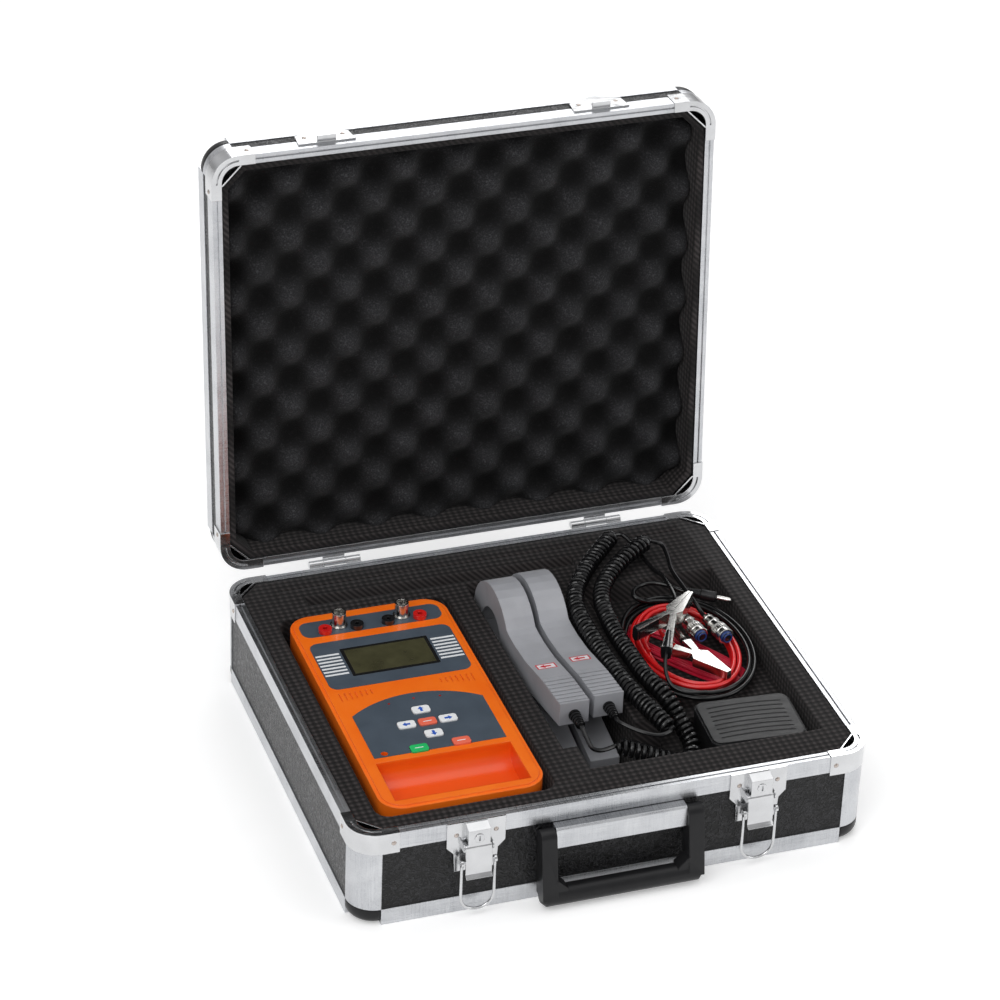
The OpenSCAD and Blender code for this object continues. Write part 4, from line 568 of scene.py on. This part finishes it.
def ringed(rows, sides):
    """Faces over rows of points that stand in rings, with a cap at each end."""
    faces = [(i * sides + k, i * sides + (k + 1) % sides,
              (i + 1) * sides + (k + 1) % sides, (i + 1) * sides + k)
             for i in range(rows - 1) for k in range(sides)]
    last = (rows - 1) * sides
    return faces + [tuple(range(sides))[::-1], tuple(last + k for k in range(sides))]


def tube(name, path, radius, slot, body=None, sides=12):
    """A round tube along a path in millimetres."""
    path = np.array(path, float)
    _, u, v = frames(path)
    turn = np.arange(sides) * 2 * math.pi / sides
    points = [path[i] + radius * (math.cos(a) * u[i] + math.sin(a) * v[i])
              for i in range(len(path)) for a in turn]
    return make(name, points, ringed(len(path), sides), slot, body)


def lathe(name, profile, place, slot, body=None, segments=48, knurl=(), depth=0.0):
    """Turns (along, radius) pairs round the +X axis of a placing matrix.
    Rows in knurl are fluted by that depth."""
    points = []
    for row, (along, radius) in enumerate(profile):
        for k in range(segments):
            a = 2 * math.pi * k / segments
            r = radius - (depth if row in knurl and k % 2 else 0.0)
            points.append(place @ Vector((along, r * math.cos(a), r * math.sin(a))))
    return make(name, points, ringed(len(profile), segments), slot, body, sharp=28.0)


def slab(outline, z0, z1):
    """Points and faces of an upright prism over an outline."""
    n = len(outline)
    points = [(x, y, z0) for x, y in outline] + [(x, y, z1) for x, y in outline]
    faces = [tuple(range(n))[::-1], tuple(range(n, 2 * n))]
    faces += [(k, (k + 1) % n, n + (k + 1) % n, n + k) for k in range(n)]
    return points, faces


def joined(parts):
    """Several (points, faces) as one."""
    points, faces = [], []
    for more, polygons in parts:
        faces += [tuple(i + len(points) for i in f) for f in polygons]
        points += list(more)
    return points, faces


def heading(degrees):
    """The level unit vector that points along an angle."""
    return Vector((math.cos(math.radians(degrees)), math.sin(math.radians(degrees)), 0))


def at(x, y, z, turn=0.0):
    """The matrix of a place and a turn about the upright axis."""
    return Matrix.Translation((x, y, z)) @ Matrix.Rotation(math.radians(turn), 4, "Z")


def squarish(share):
    """A circle's cosine or sine, made into a rounded rectangle's."""
    return math.copysign(abs(share) ** 0.6, share)


def opened(point):
    """A point of the shut lid, moved to where it is in the open one."""
    turn = Matrix.Rotation(math.radians(-LID_ANGLE), 4, "X")
    return HINGE + turn @ (Vector(point) - HINGE)


# ---------------- pieces

def build_stage(settings):
    """Camera, soft lights, floor and white surroundings."""
    camera = bpy.data.cameras.new("Camera")
    camera.sensor_width = 36.0
    camera.lens = CAMERA_LENS
    camera.shift_x, camera.shift_y = CAMERA_SHIFT
    camera.clip_start, camera.clip_end = 0.1, 20.0
    obj = bpy.data.objects.new("Camera", camera)
    bpy.context.scene.collection.objects.link(obj)
    obj.matrix_world = Matrix(CAMERA_MATRIX)
    bpy.context.scene.camera = obj

    def area(name, place, target, size, power):
        """A soft rectangular light that faces its target."""
        light = bpy.data.lights.new(name, "AREA")
        light.shape = "RECTANGLE"
        light.size, light.size_y = size
        light.energy = power * settings.light
        holder = bpy.data.objects.new(name, light)
        bpy.context.scene.collection.objects.link(holder)
        holder.location = place
        holder.rotation_euler = (Vector(target) - Vector(place)).to_track_quat(
            "-Z", "Y").to_euler()

    area("Key", (-1.5, -1.3, 1.9), (0, 0, 0.15), (1.8, 1.4), 24)
    area("Fill", (1.9, -1.2, 1.1), (0, 0, 0.15), (1.0, 1.4), 9)
    area("Top", (0.1, -0.2, 2.3), (0, 0.1, 0.1), (3.0, 2.2), 17)
    area("Rim", (0.6, 1.9, 1.4), (0, 0.1, 0.3), (1.6, 0.6), 12)

    world = bpy.data.worlds.new("White surroundings")
    bpy.context.scene.world = world
    tree = Tree(world)
    rays = tree.node("ShaderNodeLightPath")
    height = tree.axes(tree.node("ShaderNodeTexCoord").outputs["Generated"])[2]
    dome = tree.ramp(height * 0.5 + 0.5, [
        (0.3, (0.40, 0.40, 0.40)), (0.5, (0.06, 0.06, 0.065)), (0.62, (0.50, 0.50, 0.51)),
        (0.74, (0.12, 0.12, 0.125)), (1.0, (0.62, 0.62, 0.62))])
    direct = tree.value(rays.outputs["Is Camera Ray"]) \
        + tree.value(rays.outputs["Is Glossy Ray"]) * 0.3 \
        + tree.value(rays.outputs["Is Transmission Ray"])
    seen = tree.mix(direct.math("MINIMUM", 1.0), dome, (1.0, 1.0, 1.0))
    shine = tree.node("ShaderNodeBackground", inputs={"Color": seen, "Strength": 1.0})
    tree.node("ShaderNodeOutputWorld", inputs={"Surface": shine.outputs[0]})

    points, faces = slab([(-6000, -6000), (6000, -6000), (6000, 6000), (-6000, 6000)],
                         -6.0, -0.3)
    floor = make("Studio floor", points, faces, "floor", smooth=False)
    bpy.context.scene.view_settings.view_transform = "Standard"


def curled(route, pitch_least):
    """A helix round a route: its turns open up where the route bends."""
    centre = softened(resampled(route, 0.5), 60)
    tangent, u, v = frames(centre)
    ds = np.linalg.norm(np.diff(centre, axis=0), axis=1)
    bend = np.linalg.norm(np.gradient(tangent, axis=0), axis=1) / np.mean(ds)
    reach, window = 20, 41
    bend = np.convolve(np.pad(bend, reach, mode="edge"), np.ones(window) / window, "valid")
    open_up = 1.0 / np.clip(1.0 - (CURL_R + 0.6) * bend, 0.3, 1.0)
    pitch = np.maximum(pitch_least, (2 * CORD_R + CURL_GAP) * open_up)
    arc = np.concatenate([[0], np.cumsum(ds)])
    angle = np.concatenate([[0], np.cumsum(ds / pitch[:-1])]) * 2 * math.pi
    turns = angle[-1] / (2 * math.pi)
    count = int(turns * CURL_POINTS)
    where = np.interp(np.linspace(0, angle[-1], count + 1), angle, arc)
    path = []
    for k, place in enumerate(where):
        middle, side, up = (
            np.array([np.interp(place, arc, rows[:, i]) for i in range(3)])
            for rows in (centre, u, v))
        a = 2 * math.pi * turns * k / count - math.pi / 2
        ease = min(k, count - k) / CURL_POINTS
        r = CURL_R * (1.0 if ease > CURL_EASE else math.sin(ease / CURL_EASE * math.pi / 2))
        path.append(middle + r * (math.cos(a) * side + math.sin(a) * up))
    return path


def aviation_plug(name, place, turn):
    """Chromed plug: rear cone, body, fluted ring and a blue insert with a dark lip."""
    put = at(*place, turn)
    shell = lathe(name + " shell", [
        (-1.5, 2.4), (0, 3.2), (0.6, 4.2), (2.0, 4.6), (4.0, 4.9), (4.4, 4.6), (5.2, 4.6),
        (5.6, 5.1), (10.2, 6.0), (10.8, 6.3), (12.5, 6.3), (12.9, 6.0), (17.6, 6.0),
        (18.2, 6.2), (19.4, 6.2), (19.6, 7.2), (20.2, 7.2), (20.9, 7.2), (25.8, 7.2),
        (26.6, 7.2), (27.2, 6.7), (28.2, 6.7), (28.6, 7.2), (32.0, 7.2), (32.4, 6.8),
        (32.4, 5.4), (31.0, 5.3)], put, "nickel", "accessories", 56,
        knurl=(17, 18), depth=0.45)
    insert = lathe(name + " insert", [
        (30.0, 5.2), (32.2, 5.2), (33.6, 5.0), (33.9, 4.6), (35.6, 4.4), (36.0, 4.1),
        (36.0, 3.2), (34.8, 3.1)], put, "blue_insert", "accessories", 40)
    lip = lathe(name + " lip", [
        (34.3, 4.5), (34.4, 4.75), (35.2, 4.75), (35.3, 4.45)], put, "black_gloss",
        "accessories", 40)
    return [shell, insert, lip]


def build_clamp_cords(settings):
    """The two curly cords with their plugs."""
    for side in SIDES:
        pivot = CLAMPS[side]
        start = np.array([pivot.x, pivot.y + RELIEF_END.y, pivot.z + RELIEF_END.z])
        curl = curled(ROUTES[side], settings.curl_pitch / MM)
        place, turn = PLUGS[side]
        aim = np.array([math.cos(math.radians(turn)), math.sin(math.radians(turn)), 0.0])
        rear = np.array(place, float)
        lead = resampled([start, start + [0, -4, 0], *LEAD_IN[side], curl[0]],
                         ROUTE_STEP)[:-1]
        tail = resampled([curl[-1], *TAILS[side], rear - 8 * aim, rear - aim],
                         ROUTE_STEP)[1:]
        path = softened([*lead, *curl, *tail], 2)
        pieces = aviation_plug(side.capitalize() + " plug", place, turn)
        obj = tube(side.capitalize() + " clamp cord", path, CORD_R, "cord_rubber", sides=9)
        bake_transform(obj)
        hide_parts(side + "_cord_lead", side + "_cord_coil")
        if side == "left":
            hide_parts("cord_tails")
            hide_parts("aviation_plugs")


def layer(m, n):
    """0 in the lower layer, 1 in the upper one, climbing in the middle half turn."""
    return min(max((m - n / 2 + 0.25) * 2, 0.0), 1.0)


def pile_path(n, axes, start, seed):
    """Oval loops that spiral out, climb a layer and spiral in again."""
    path = []
    for k in range(n * PILE_POINTS + 1):
        m = k / PILE_POINTS
        a = math.radians(start) + 2 * math.pi * m
        out = min(m, n - m) * PITCH
        sway = noise.noise(Vector((math.cos(a) * 1.3, math.sin(a) * 1.3, m * 0.6 + seed))) * 0.3
        path.append((PILE_X + (axes[0] + out + sway) * math.cos(a),
                     PILE_Y + (axes[1] + out + sway) * math.sin(a),
                     PILE_Z + layer(m, n) * PITCH + sway * 0.4))
    return path


def boot(name, place, turn, slot, body):
    """Ribbed rubber boot, 20 mm long, over a clip's grip."""
    profile = [(-0.2, 2.4), (0.0, 3.7), (0.6, 3.9), (6.0, 3.9), (6.6, 3.7)]
    for k in range(6):
        x = 7.2 + k * 2.0
        profile += [(x, 3.7 - 0.14 * k), (x + 0.2, 3.3 - 0.14 * k), (x + 0.9, 3.3 - 0.14 * k),
                    (x + 1.1, 3.66 - 0.14 * k)]
    profile += [(19.8, 2.9), (20.1, 2.5), (20.1, 2.1)]
    return lathe(name, profile, at(*place, turn), slot, body, 32)


def small_grip(side):
    """The end of one grip of the small clip, where its boot starts."""
    angle = math.radians(180 - side * SMALL_GRIP_SPREAD)
    reach = Vector((SMALL_GRIP_REACH * math.cos(angle), SMALL_GRIP_REACH * math.sin(angle), 0))
    return SMALL_CLIP + Matrix.Rotation(math.radians(SMALL_CLIP_TURN), 3, "Z") @ reach


def red_lead():
    """Coiled red lead, from the red boot of the small clip down into the pile."""
    aim = heading(BOOT_TURN)
    tip = small_grip(-1) + aim * BOOT_L
    climb = [(99.3, 12, 76.5), (103, 20, 79.5), (109, 27, 84), (116, 29, 87),
             tuple(tip + aim * 8), tuple(tip)]
    path = softened(list(resampled(climb[::-1], ROUTE_STEP))
                    + pile_path(4, (34, 56), 180, 1.3)[2:], 3)
    boot("Red boot", small_grip(-1), BOOT_TURN, "red_plastic", "accessories")
    obj = tube("Red test lead", path, LEAD_R, "red_cord", "accessories")
    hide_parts("red_lead_coil", "lead_ends")


def black_lead():
    """Coiled black lead, which rises from the pile to its ribbed plug."""
    coil = pile_path(3, (48.4, 70.4), 90, 7.7)
    rise = [coil[-1], (124, 73.6, 81.5), (118, 72.2, 84.6), (112, 75, 87.5), (114, 83, 88),
            (122, 89.5, 88), (133, 91, 88), (143, 86, 88), (151, 77, 88),
            tuple(LEAD_PLUG - heading(LEAD_PLUG_TURN) * 6), tuple(LEAD_PLUG)]
    path = softened(coil[:-3] + list(resampled(rise, ROUTE_STEP))[2:], 3)
    put = at(*LEAD_PLUG, LEAD_PLUG_TURN)
    profile = [(-1, 2.2), (0, 2.9)]
    for k in range(6):
        x = 0.6 + k * 2.1
        profile += [(x, 3.5 + 0.13 * k), (x + 1.1, 3.5 + 0.13 * k), (x + 1.3, 3.0 + 0.13 * k),
                    (x + 1.9, 3.0 + 0.13 * k)]
    profile += [(13.4, 4.6), (14.0, 4.8), (25.8, 4.8), (26.6, 4.5), (27.0, 4.0), (27.0, 2.2)]
    ribbed = lathe("Black plug", profile, put, "black_plastic", "accessories", 40)
    lathe("Plug pin", [(26.5, 1.7), (27.2, 1.9), (29, 1.9), (30, 2.05), (34, 2.1),
                       (38, 1.95), (39.2, 1.8), (39.9, 1.2), (40, 0.5)],
          put, "nickel", "accessories", 24)
    obj = tube("Black test lead", path, LEAD_R, "cord_rubber", "accessories")
    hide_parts("black_lead_coil")
    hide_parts("lead_plug")


def clip_wires():
    """Wire of the large clip, which ends on the coil, and the small clip's black boot."""
    way = heading(LARGE_CLIP_TURN + 180 + GRIP_SPREAD)
    start = LARGE_CLIP + way * 50
    path = softened(resampled(
        [tuple(start), tuple(start + way * 6), (95, -42, 100), (93, -51, 94), (95, -60, 88),
         (103, -67, 85), (112, -70, 84.5), (122, -71.5, 84.4)], 1.2), 6)
    obj = tube("Large clip wire", path, CLIP_WIRE_R, "cord_rubber", "accessories")
    boot("Black boot", small_grip(1), BOOT_TURN, "black_gloss", "silver_clip")
    tip = small_grip(1) + heading(BOOT_TURN) * BOOT_L
    path = resampled([tip, tip + heading(BOOT_TURN) * 9], 1.0)
    tube("Small clip wire", path, SMALL_WIRE_R, "cord_rubber", "silver_clip")


def earth_wire():
    """Hank of thin wire, fanned out."""
    turn = math.radians(HANK_TURN)
    cos_turn, sin_turn = math.cos(turn), math.sin(turn)
    path = []
    for k in range(HANK_LOOPS * HANK_POINTS + 1):
        m = k / HANK_POINTS
        a = 2 * math.pi * m
        spread = min(m, HANK_LOOPS - m) * 2.75
        x = 54 * squarish(math.cos(a)) + spread * 0.8 * math.cos(a)
        x += noise.noise(Vector((m * 2.0, 0.3, 1.0))) * 0.5
        y = (8 + spread) * math.sin(a)
        path.append((PILE_X + x * cos_turn - y * sin_turn,
                     PILE_Y + x * sin_turn + y * cos_turn,
                     HANK_Z + layer(m, HANK_LOOPS) * 2.9))
    path = softened(path, 2)
    obj = tube("Earth wire", path, EARTH_WIRE_R, "pink_wire", "accessories", 8)
    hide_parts("earth_wire_hank")


def build_leads(settings):
    """Red and black test leads, their plug and the earth wire's hank."""
    red_lead()
    black_lead()
    clip_wires()
    earth_wire()


def build_sleeves(settings):
    """Black sleeves over the grips of the large clip."""
    turn = Matrix.Rotation(math.radians(LARGE_CLIP_TURN), 3, "Z")
    sides = 20
    for side, name, grip_l, body in ((1, "Clip sleeve", 40.0, "black_clip"),
                                     (-1, "Long clip sleeve", 53.0, "accessories")):
        angle = math.radians(180 - side * GRIP_SPREAD)
        way = turn @ Vector((math.cos(angle), math.sin(angle), 0))
        across = turn @ Vector((-math.sin(angle), math.cos(angle), 0))
        reaches = [float(r) for r in np.linspace(grip_l - 24, grip_l + 1.5, 18)]
        widths = [r * math.tan(math.radians(SLEEVE_TAPER)) + SLEEVE_WALL for r in reaches]
        widths[0] *= 0.94
        widths[-1] *= 0.8
        points = []
        for reach, width in zip(reaches, widths):
            for k in range(sides):
                a = 2 * math.pi * k / sides
                points.append(LARGE_CLIP + way * reach
                              + across * (width * squarish(math.cos(a)))
                              + Vector((0, 0, SLEEVE_HALF_H * squarish(math.sin(a)))))
        make(name, points, ringed(len(reaches), sides), "black_gloss", body, sharp=50)


def crate_height(x, y):
    """Thickness of the egg-crate foam at a point of the shut lid."""
    bump = (1 + math.cos(2 * math.pi * x / CRATE_PEAKS[0])
            * math.cos(2 * math.pi * y / CRATE_PEAKS[1])) / 2
    sway = noise.noise(Vector((x * 0.03, y * 0.03, 3.1)))
    return CRATE_LEAST + CRATE_RISE * bump ** 1.3 + sway * 0.6


def build_crate_foam(settings):
    """Egg-crate foam in the lid, as a fine grid."""
    half_x, half_y = CRATE_HALF
    nx, ny = (int(2 * half * MM / settings.foam_step) for half in CRATE_HALF)

    def grid_point(i, j):
        """A place on the foam of the shut lid, and how far it is from the foam's rim."""
        x = -half_x + 2 * half_x * i / nx
        y = -half_y + 2 * half_y * j / ny
        room = half_y - max(0.0, abs(x) - (half_x - CRATE_CORNER))
        y = max(-room, min(room, y))
        return x, y, min(half_x - abs(x), room - abs(y))

    points = []
    for j in range(ny + 1):
        for i in range(nx + 1):
            x, y, rim = grid_point(i, j)
            t = crate_height(x, y) - 1.6 * max(0.0, 1 - rim / 2.2) ** 2
            points.append(opened((x, y, CRATE_BACK - t)))
    m = nx + 1
    faces = [(j * m + i, j * m + i + 1, (j + 1) * m + i + 1, (j + 1) * m + i)
             for j in range(ny) for i in range(nx)]
    edge = [*range(m), *(j * m + nx for j in range(1, ny + 1)),
            *(ny * m + i for i in range(nx - 1, -1, -1)), *(j * m for j in range(ny - 1, 0, -1))]
    base, n = len(points), len(edge)
    for k in edge:
        x, y, _ = grid_point(k % m, k // m)
        points.append(opened((x, y, CRATE_BACK)))
    faces += [(edge[k], edge[(k + 1) % n], base + (k + 1) % n, base + k) for k in range(n)]
    faces.append(tuple(range(base, base + n)))
    obj = make("Egg-crate foam", points, faces, "crate_foam", "lid", sharp=60)
    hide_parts("lid_eggcrate_foam")
    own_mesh(obj)


def rounded_copy(node, name, body, width, segments=2, angle=40.0):
    """A CAD node's shape with rounded edges, width in metres."""
    mesh = frame["nodes"][node].data.copy()
    mesh.materials.clear()
    work = bmesh.new()
    work.from_mesh(mesh)
    bmesh.ops.remove_doubles(work, verts=work.verts, dist=1e-6)
    bmesh.ops.dissolve_limit(work, angle_limit=math.radians(0.6), verts=work.verts,
                             edges=work.edges)
    work.to_mesh(mesh)
    work.free()
    holder = bpy.data.objects.new("Rounding", mesh)
    bpy.context.scene.collection.objects.link(holder)
    bevel = holder.modifiers.new("Bevel", "BEVEL")
    bevel.width = width
    bevel.segments = segments
    bevel.limit_method = "ANGLE"
    bevel.angle_limit = math.radians(angle)
    bpy.context.view_layer.update()
    made = bpy.data.meshes.new_from_object(
        holder.evaluated_get(bpy.context.evaluated_depsgraph_get()))
    bpy.data.objects.remove(holder)
    made.materials.clear()
    obj = finished(name, made, NODE_SLOTS[node], body, sharp=50.0)
    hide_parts(node)
    return obj


def build_foam_tray(settings):
    """Tray and lid lining with soft edges."""
    tray = rounded_copy("base_foam", "Foam tray", "case", settings.foam_round)
    lining = rounded_copy("lid_lining", "Lid lining", "lid", settings.foam_round)


# Node, name, body, rounding in millimetres and segments
ROUNDED = [
    ("carry_handle", "Carry handle", "handle", 4.0, 4),
    ("base_corner_caps", "Lower corner caps", "case", 1.5, 3),
    ("lid_corner_caps", "Lid corner caps", "lid", 1.5, 3),
    ("left_latch_lever", "Left lever", "left_lever", 0.9, 3),
    ("right_latch_lever", "Right lever", "right_lever", 0.9, 3),
]


def build_rounded_parts(settings):
    """Handle, corner caps and latch levers with moulded or rolled edges."""
    for node, name, body, width, segments in ROUNDED:
        rounded_copy(node, name, body, width * MM * settings.part_round, segments, 25.0)


def arrow_outline(x, y, size, turn):
    """A block arrow pointing along turn degrees."""
    shape = [(1.0, 0), (0.1, 0.75), (0.1, 0.32), (-0.85, 0.32), (-0.85, -0.32), (0.1, -0.32),
             (0.1, -0.75)]
    c, s = math.cos(math.radians(turn)), math.sin(math.radians(turn))
    return [(x + size * (px * c - py * s), y + size * (px * s + py * c)) for px, py in shape]


def box_outline(x, y, w, h):
    """A rectangle round a middle point."""
    return [(x - w / 2, y - h / 2), (x + w / 2, y - h / 2), (x + w / 2, y + h / 2),
            (x - w / 2, y + h / 2)]


def build_prints(settings):
    """Stripes, key marks, indicators and the clamps' labels."""
    top = TESTER.z
    stripes = [slab(box_outline(TESTER.x + side * 50.2, DISPLAY_Y + 14.4 - k * 4.8, 20.5, 2.3),
                    top - 0.02, top + 0.05)
               for side in (-1, 1) for k in range(7)]
    make("Display stripes", *joined(stripes), "print_white", "tester", False)
    lights = []
    for k in (-1, 0, 1):
        x, y = TESTER.x + k * 22.0, TESTER.y - 2.6 + (1 - abs(k)) * 2.5
        ring = [(x + math.cos(a), y + math.sin(a))
                for a in np.linspace(0, 2 * math.pi, 16, endpoint=False)]
        lights.append(slab(ring, top - 0.1, top + 0.25))
    make("Indicators", *joined(lights), "led", "tester")
    for key, (share_x, share_y) in KEY_PLACES.items():
        x, y = TESTER.x + share_x * TESTER_W, TESTER.y + share_y * TESTER_L
        if key in KEY_ARROWS:
            shape, slot = arrow_outline(x, y, 3.6, KEY_ARROWS[key]), "print_blue"
        else:
            shape, slot = box_outline(x, y, 7.0, 0.9), "print_white"
        points, faces = slab(shape, top + KEY_RISE - 0.02, top + KEY_RISE + 0.04)
        make(key.replace("_", " ").capitalize() + " mark", points, faces, slot,
             key + "_cap", False)
    bars = [(0, 4.2, 17, 1.1), (0, -4.2, 17, 1.1), (7.95, 0, 1.1, 7.3), (-7.95, 0, 1.1, 7.3)]
    arrow = [(x, y * 0.72) for x, y in arrow_outline(0.6, 0, 5.6, 0)]
    shapes = [
        (" label", slab(box_outline(0, 0, 17, 9.5), -0.02, 0.03), "print_white"),
        (" label frame", joined([slab(box_outline(*bar), 0.02, 0.07) for bar in bars]),
         "print_red"),
        (" label arrow", slab(arrow, 0.05, 0.1), "print_red"),
    ]
    for side in SIDES:
        place = Matrix.Translation(CLAMPS[side] + LABEL_PLACE) \
            @ Matrix.Rotation(-LABEL_SLOPE, 4, "X") @ Matrix.Rotation(math.radians(180), 4, "Z")
        for name, (points, faces), slot in shapes:
            make(side.capitalize() + name, [place @ Vector(p) for p in points], faces, slot,
                 side + "_clamp_top", False)


def build_cad_finish(settings):
    """Procedural finishes on every CAD node that stays in sight."""
    for name, obj in frame["nodes"].items():
        obj.data.materials.clear()
        obj.data.materials.append(MATERIALS[NODE_SLOTS[name]])
        for face in obj.data.polygons:
            face.material_index = 0


# ---------------- add-on registry

class KitSettings(bpy.types.PropertyGroup):
    """Values that a user may change before the pieces are built."""

    light: bpy.props.FloatProperty(
        name="Light", description="Strength of the studio lights, as a share of the usual one",
        default=1.0, min=0.1, max=4.0, subtype="FACTOR")
    body_colour: bpy.props.FloatVectorProperty(
        name="Tester colour", description="Colour of the tester's moulded body",
        default=(1.0, 0.205, 0.012), min=0.0, max=1.0, subtype="COLOR")
    clamp_colour: bpy.props.FloatVectorProperty(
        name="Clamp colour", description="Colour of the clamps' mouldings",
        default=(0.36, 0.365, 0.39), min=0.0, max=1.0, subtype="COLOR")
    lead_colour: bpy.props.FloatVectorProperty(
        name="Lead colour", description="Colour of the red test lead",
        default=(0.66, 0.006, 0.008), min=0.0, max=1.0, subtype="COLOR")
    curl_pitch: bpy.props.FloatProperty(
        name="Curl pitch", description="Distance between the turns of the curly cords",
        default=0.0051, min=0.0046, max=0.012, precision=4, subtype="DISTANCE")
    foam_step: bpy.props.FloatProperty(
        name="Foam step", description="Size of the egg-crate foam's grid",
        default=0.0022, min=0.0015, max=0.006, precision=4, subtype="DISTANCE")
    foam_round: bpy.props.FloatProperty(
        name="Foam rounding", description="Rounding of the tray's cut edges",
        default=0.0009, min=0.0002, max=0.00095, precision=5, subtype="DISTANCE")
    part_round: bpy.props.FloatProperty(
        name="Part rounding", description="Rounding of moulded parts, as a share of the usual one",
        default=1.0, min=0.1, max=1.2, subtype="FACTOR")


def run(builder, context):
    """Makes the finishes once, then builds one group; a failure stops the script."""
    settings = context.scene.tester_kit
    if not MATERIALS:
        MATERIALS.update(make_materials(settings))
    builder(settings)
    return {"FINISHED"}


class KIT_OT_stage(bpy.types.Operator):
    """Builds the camera, the soft lights, the floor and the white surroundings"""

    bl_idname = "kit.stage"
    bl_label = "Stage"
    bl_options = {"REGISTER", "UNDO"}

    def execute(self, context):
        return run(build_stage, context)


class KIT_OT_clamp_cords(bpy.types.Operator):
    """Builds the two curly cords with their plugs"""

    bl_idname = "kit.clamp_cords"
    bl_label = "Clamp cords"
    bl_options = {"REGISTER", "UNDO"}

    def execute(self, context):
        return run(build_clamp_cords, context)


class KIT_OT_leads(bpy.types.Operator):
    """Builds the test leads, their plug and the earth wire's hank"""

    bl_idname = "kit.leads"
    bl_label = "Test leads"
    bl_options = {"REGISTER", "UNDO"}

    def execute(self, context):
        return run(build_leads, context)


class KIT_OT_sleeves(bpy.types.Operator):
    """Builds the black sleeves over the grips of the large clip"""

    bl_idname = "kit.sleeves"
    bl_label = "Clip sleeves"
    bl_options = {"REGISTER", "UNDO"}

    def execute(self, context):
        return run(build_sleeves, context)


class KIT_OT_crate_foam(bpy.types.Operator):
    """Builds the egg-crate foam in the lid"""

    bl_idname = "kit.crate_foam"
    bl_label = "Egg-crate foam"
    bl_options = {"REGISTER", "UNDO"}

    def execute(self, context):
        return run(build_crate_foam, context)


class KIT_OT_foam_tray(bpy.types.Operator):
    """Builds the tray and the lid's lining with soft edges"""

    bl_idname = "kit.foam_tray"
    bl_label = "Foam tray"
    bl_options = {"REGISTER", "UNDO"}

    def execute(self, context):
        return run(build_foam_tray, context)


class KIT_OT_rounded_parts(bpy.types.Operator):
    """Builds the handle, the corner caps and the latch levers"""

    bl_idname = "kit.rounded_parts"
    bl_label = "Rounded parts"
    bl_options = {"REGISTER", "UNDO"}

    def execute(self, context):
        return run(build_rounded_parts, context)


class KIT_OT_prints(bpy.types.Operator):
    """Builds stripes, key marks, indicators and the clamps' labels"""

    bl_idname = "kit.prints"
    bl_label = "Prints and labels"
    bl_options = {"REGISTER", "UNDO"}

    def execute(self, context):
        return run(build_prints, context)


class KIT_OT_cad_finish(bpy.types.Operator):
    """Gives every CAD node that stays in sight its finish"""

    bl_idname = "kit.cad_finish"
    bl_label = "CAD finishes"
    bl_options = {"REGISTER", "UNDO"}

    def execute(self, context):
        return run(build_cad_finish, context)


OPERATORS = [
    KIT_OT_stage, KIT_OT_clamp_cords, KIT_OT_leads, KIT_OT_sleeves, KIT_OT_crate_foam,
    KIT_OT_foam_tray, KIT_OT_rounded_parts, KIT_OT_prints, KIT_OT_cad_finish,
]


class KIT_PT_panel(bpy.types.Panel):
    """Sidebar panel of the tester kit."""

    bl_label = "Tester Kit"
    bl_space_type = "VIEW_3D"
    bl_region_type = "UI"
    bl_category = "Tester Kit"

    def draw(self, context):
        for name in KitSettings.__annotations__:
            self.layout.prop(context.scene.tester_kit, name)
        for kind in OPERATORS:
            self.layout.operator(kind.bl_idname)


CLASSES = [KitSettings, *OPERATORS, KIT_PT_panel]


def register():
    for kind in CLASSES:
        bpy.utils.register_class(kind)
    bpy.types.Scene.tester_kit = bpy.props.PointerProperty(type=KitSettings)


def unregister():
    del bpy.types.Scene.tester_kit
    for kind in reversed(CLASSES):
        bpy.utils.unregister_class(kind)


def main():
    register()
    for kind in OPERATORS:
        group, name = kind.bl_idname.split(".")
        getattr(getattr(bpy.ops, group), name)()


if __name__ == "__main__":
    main()
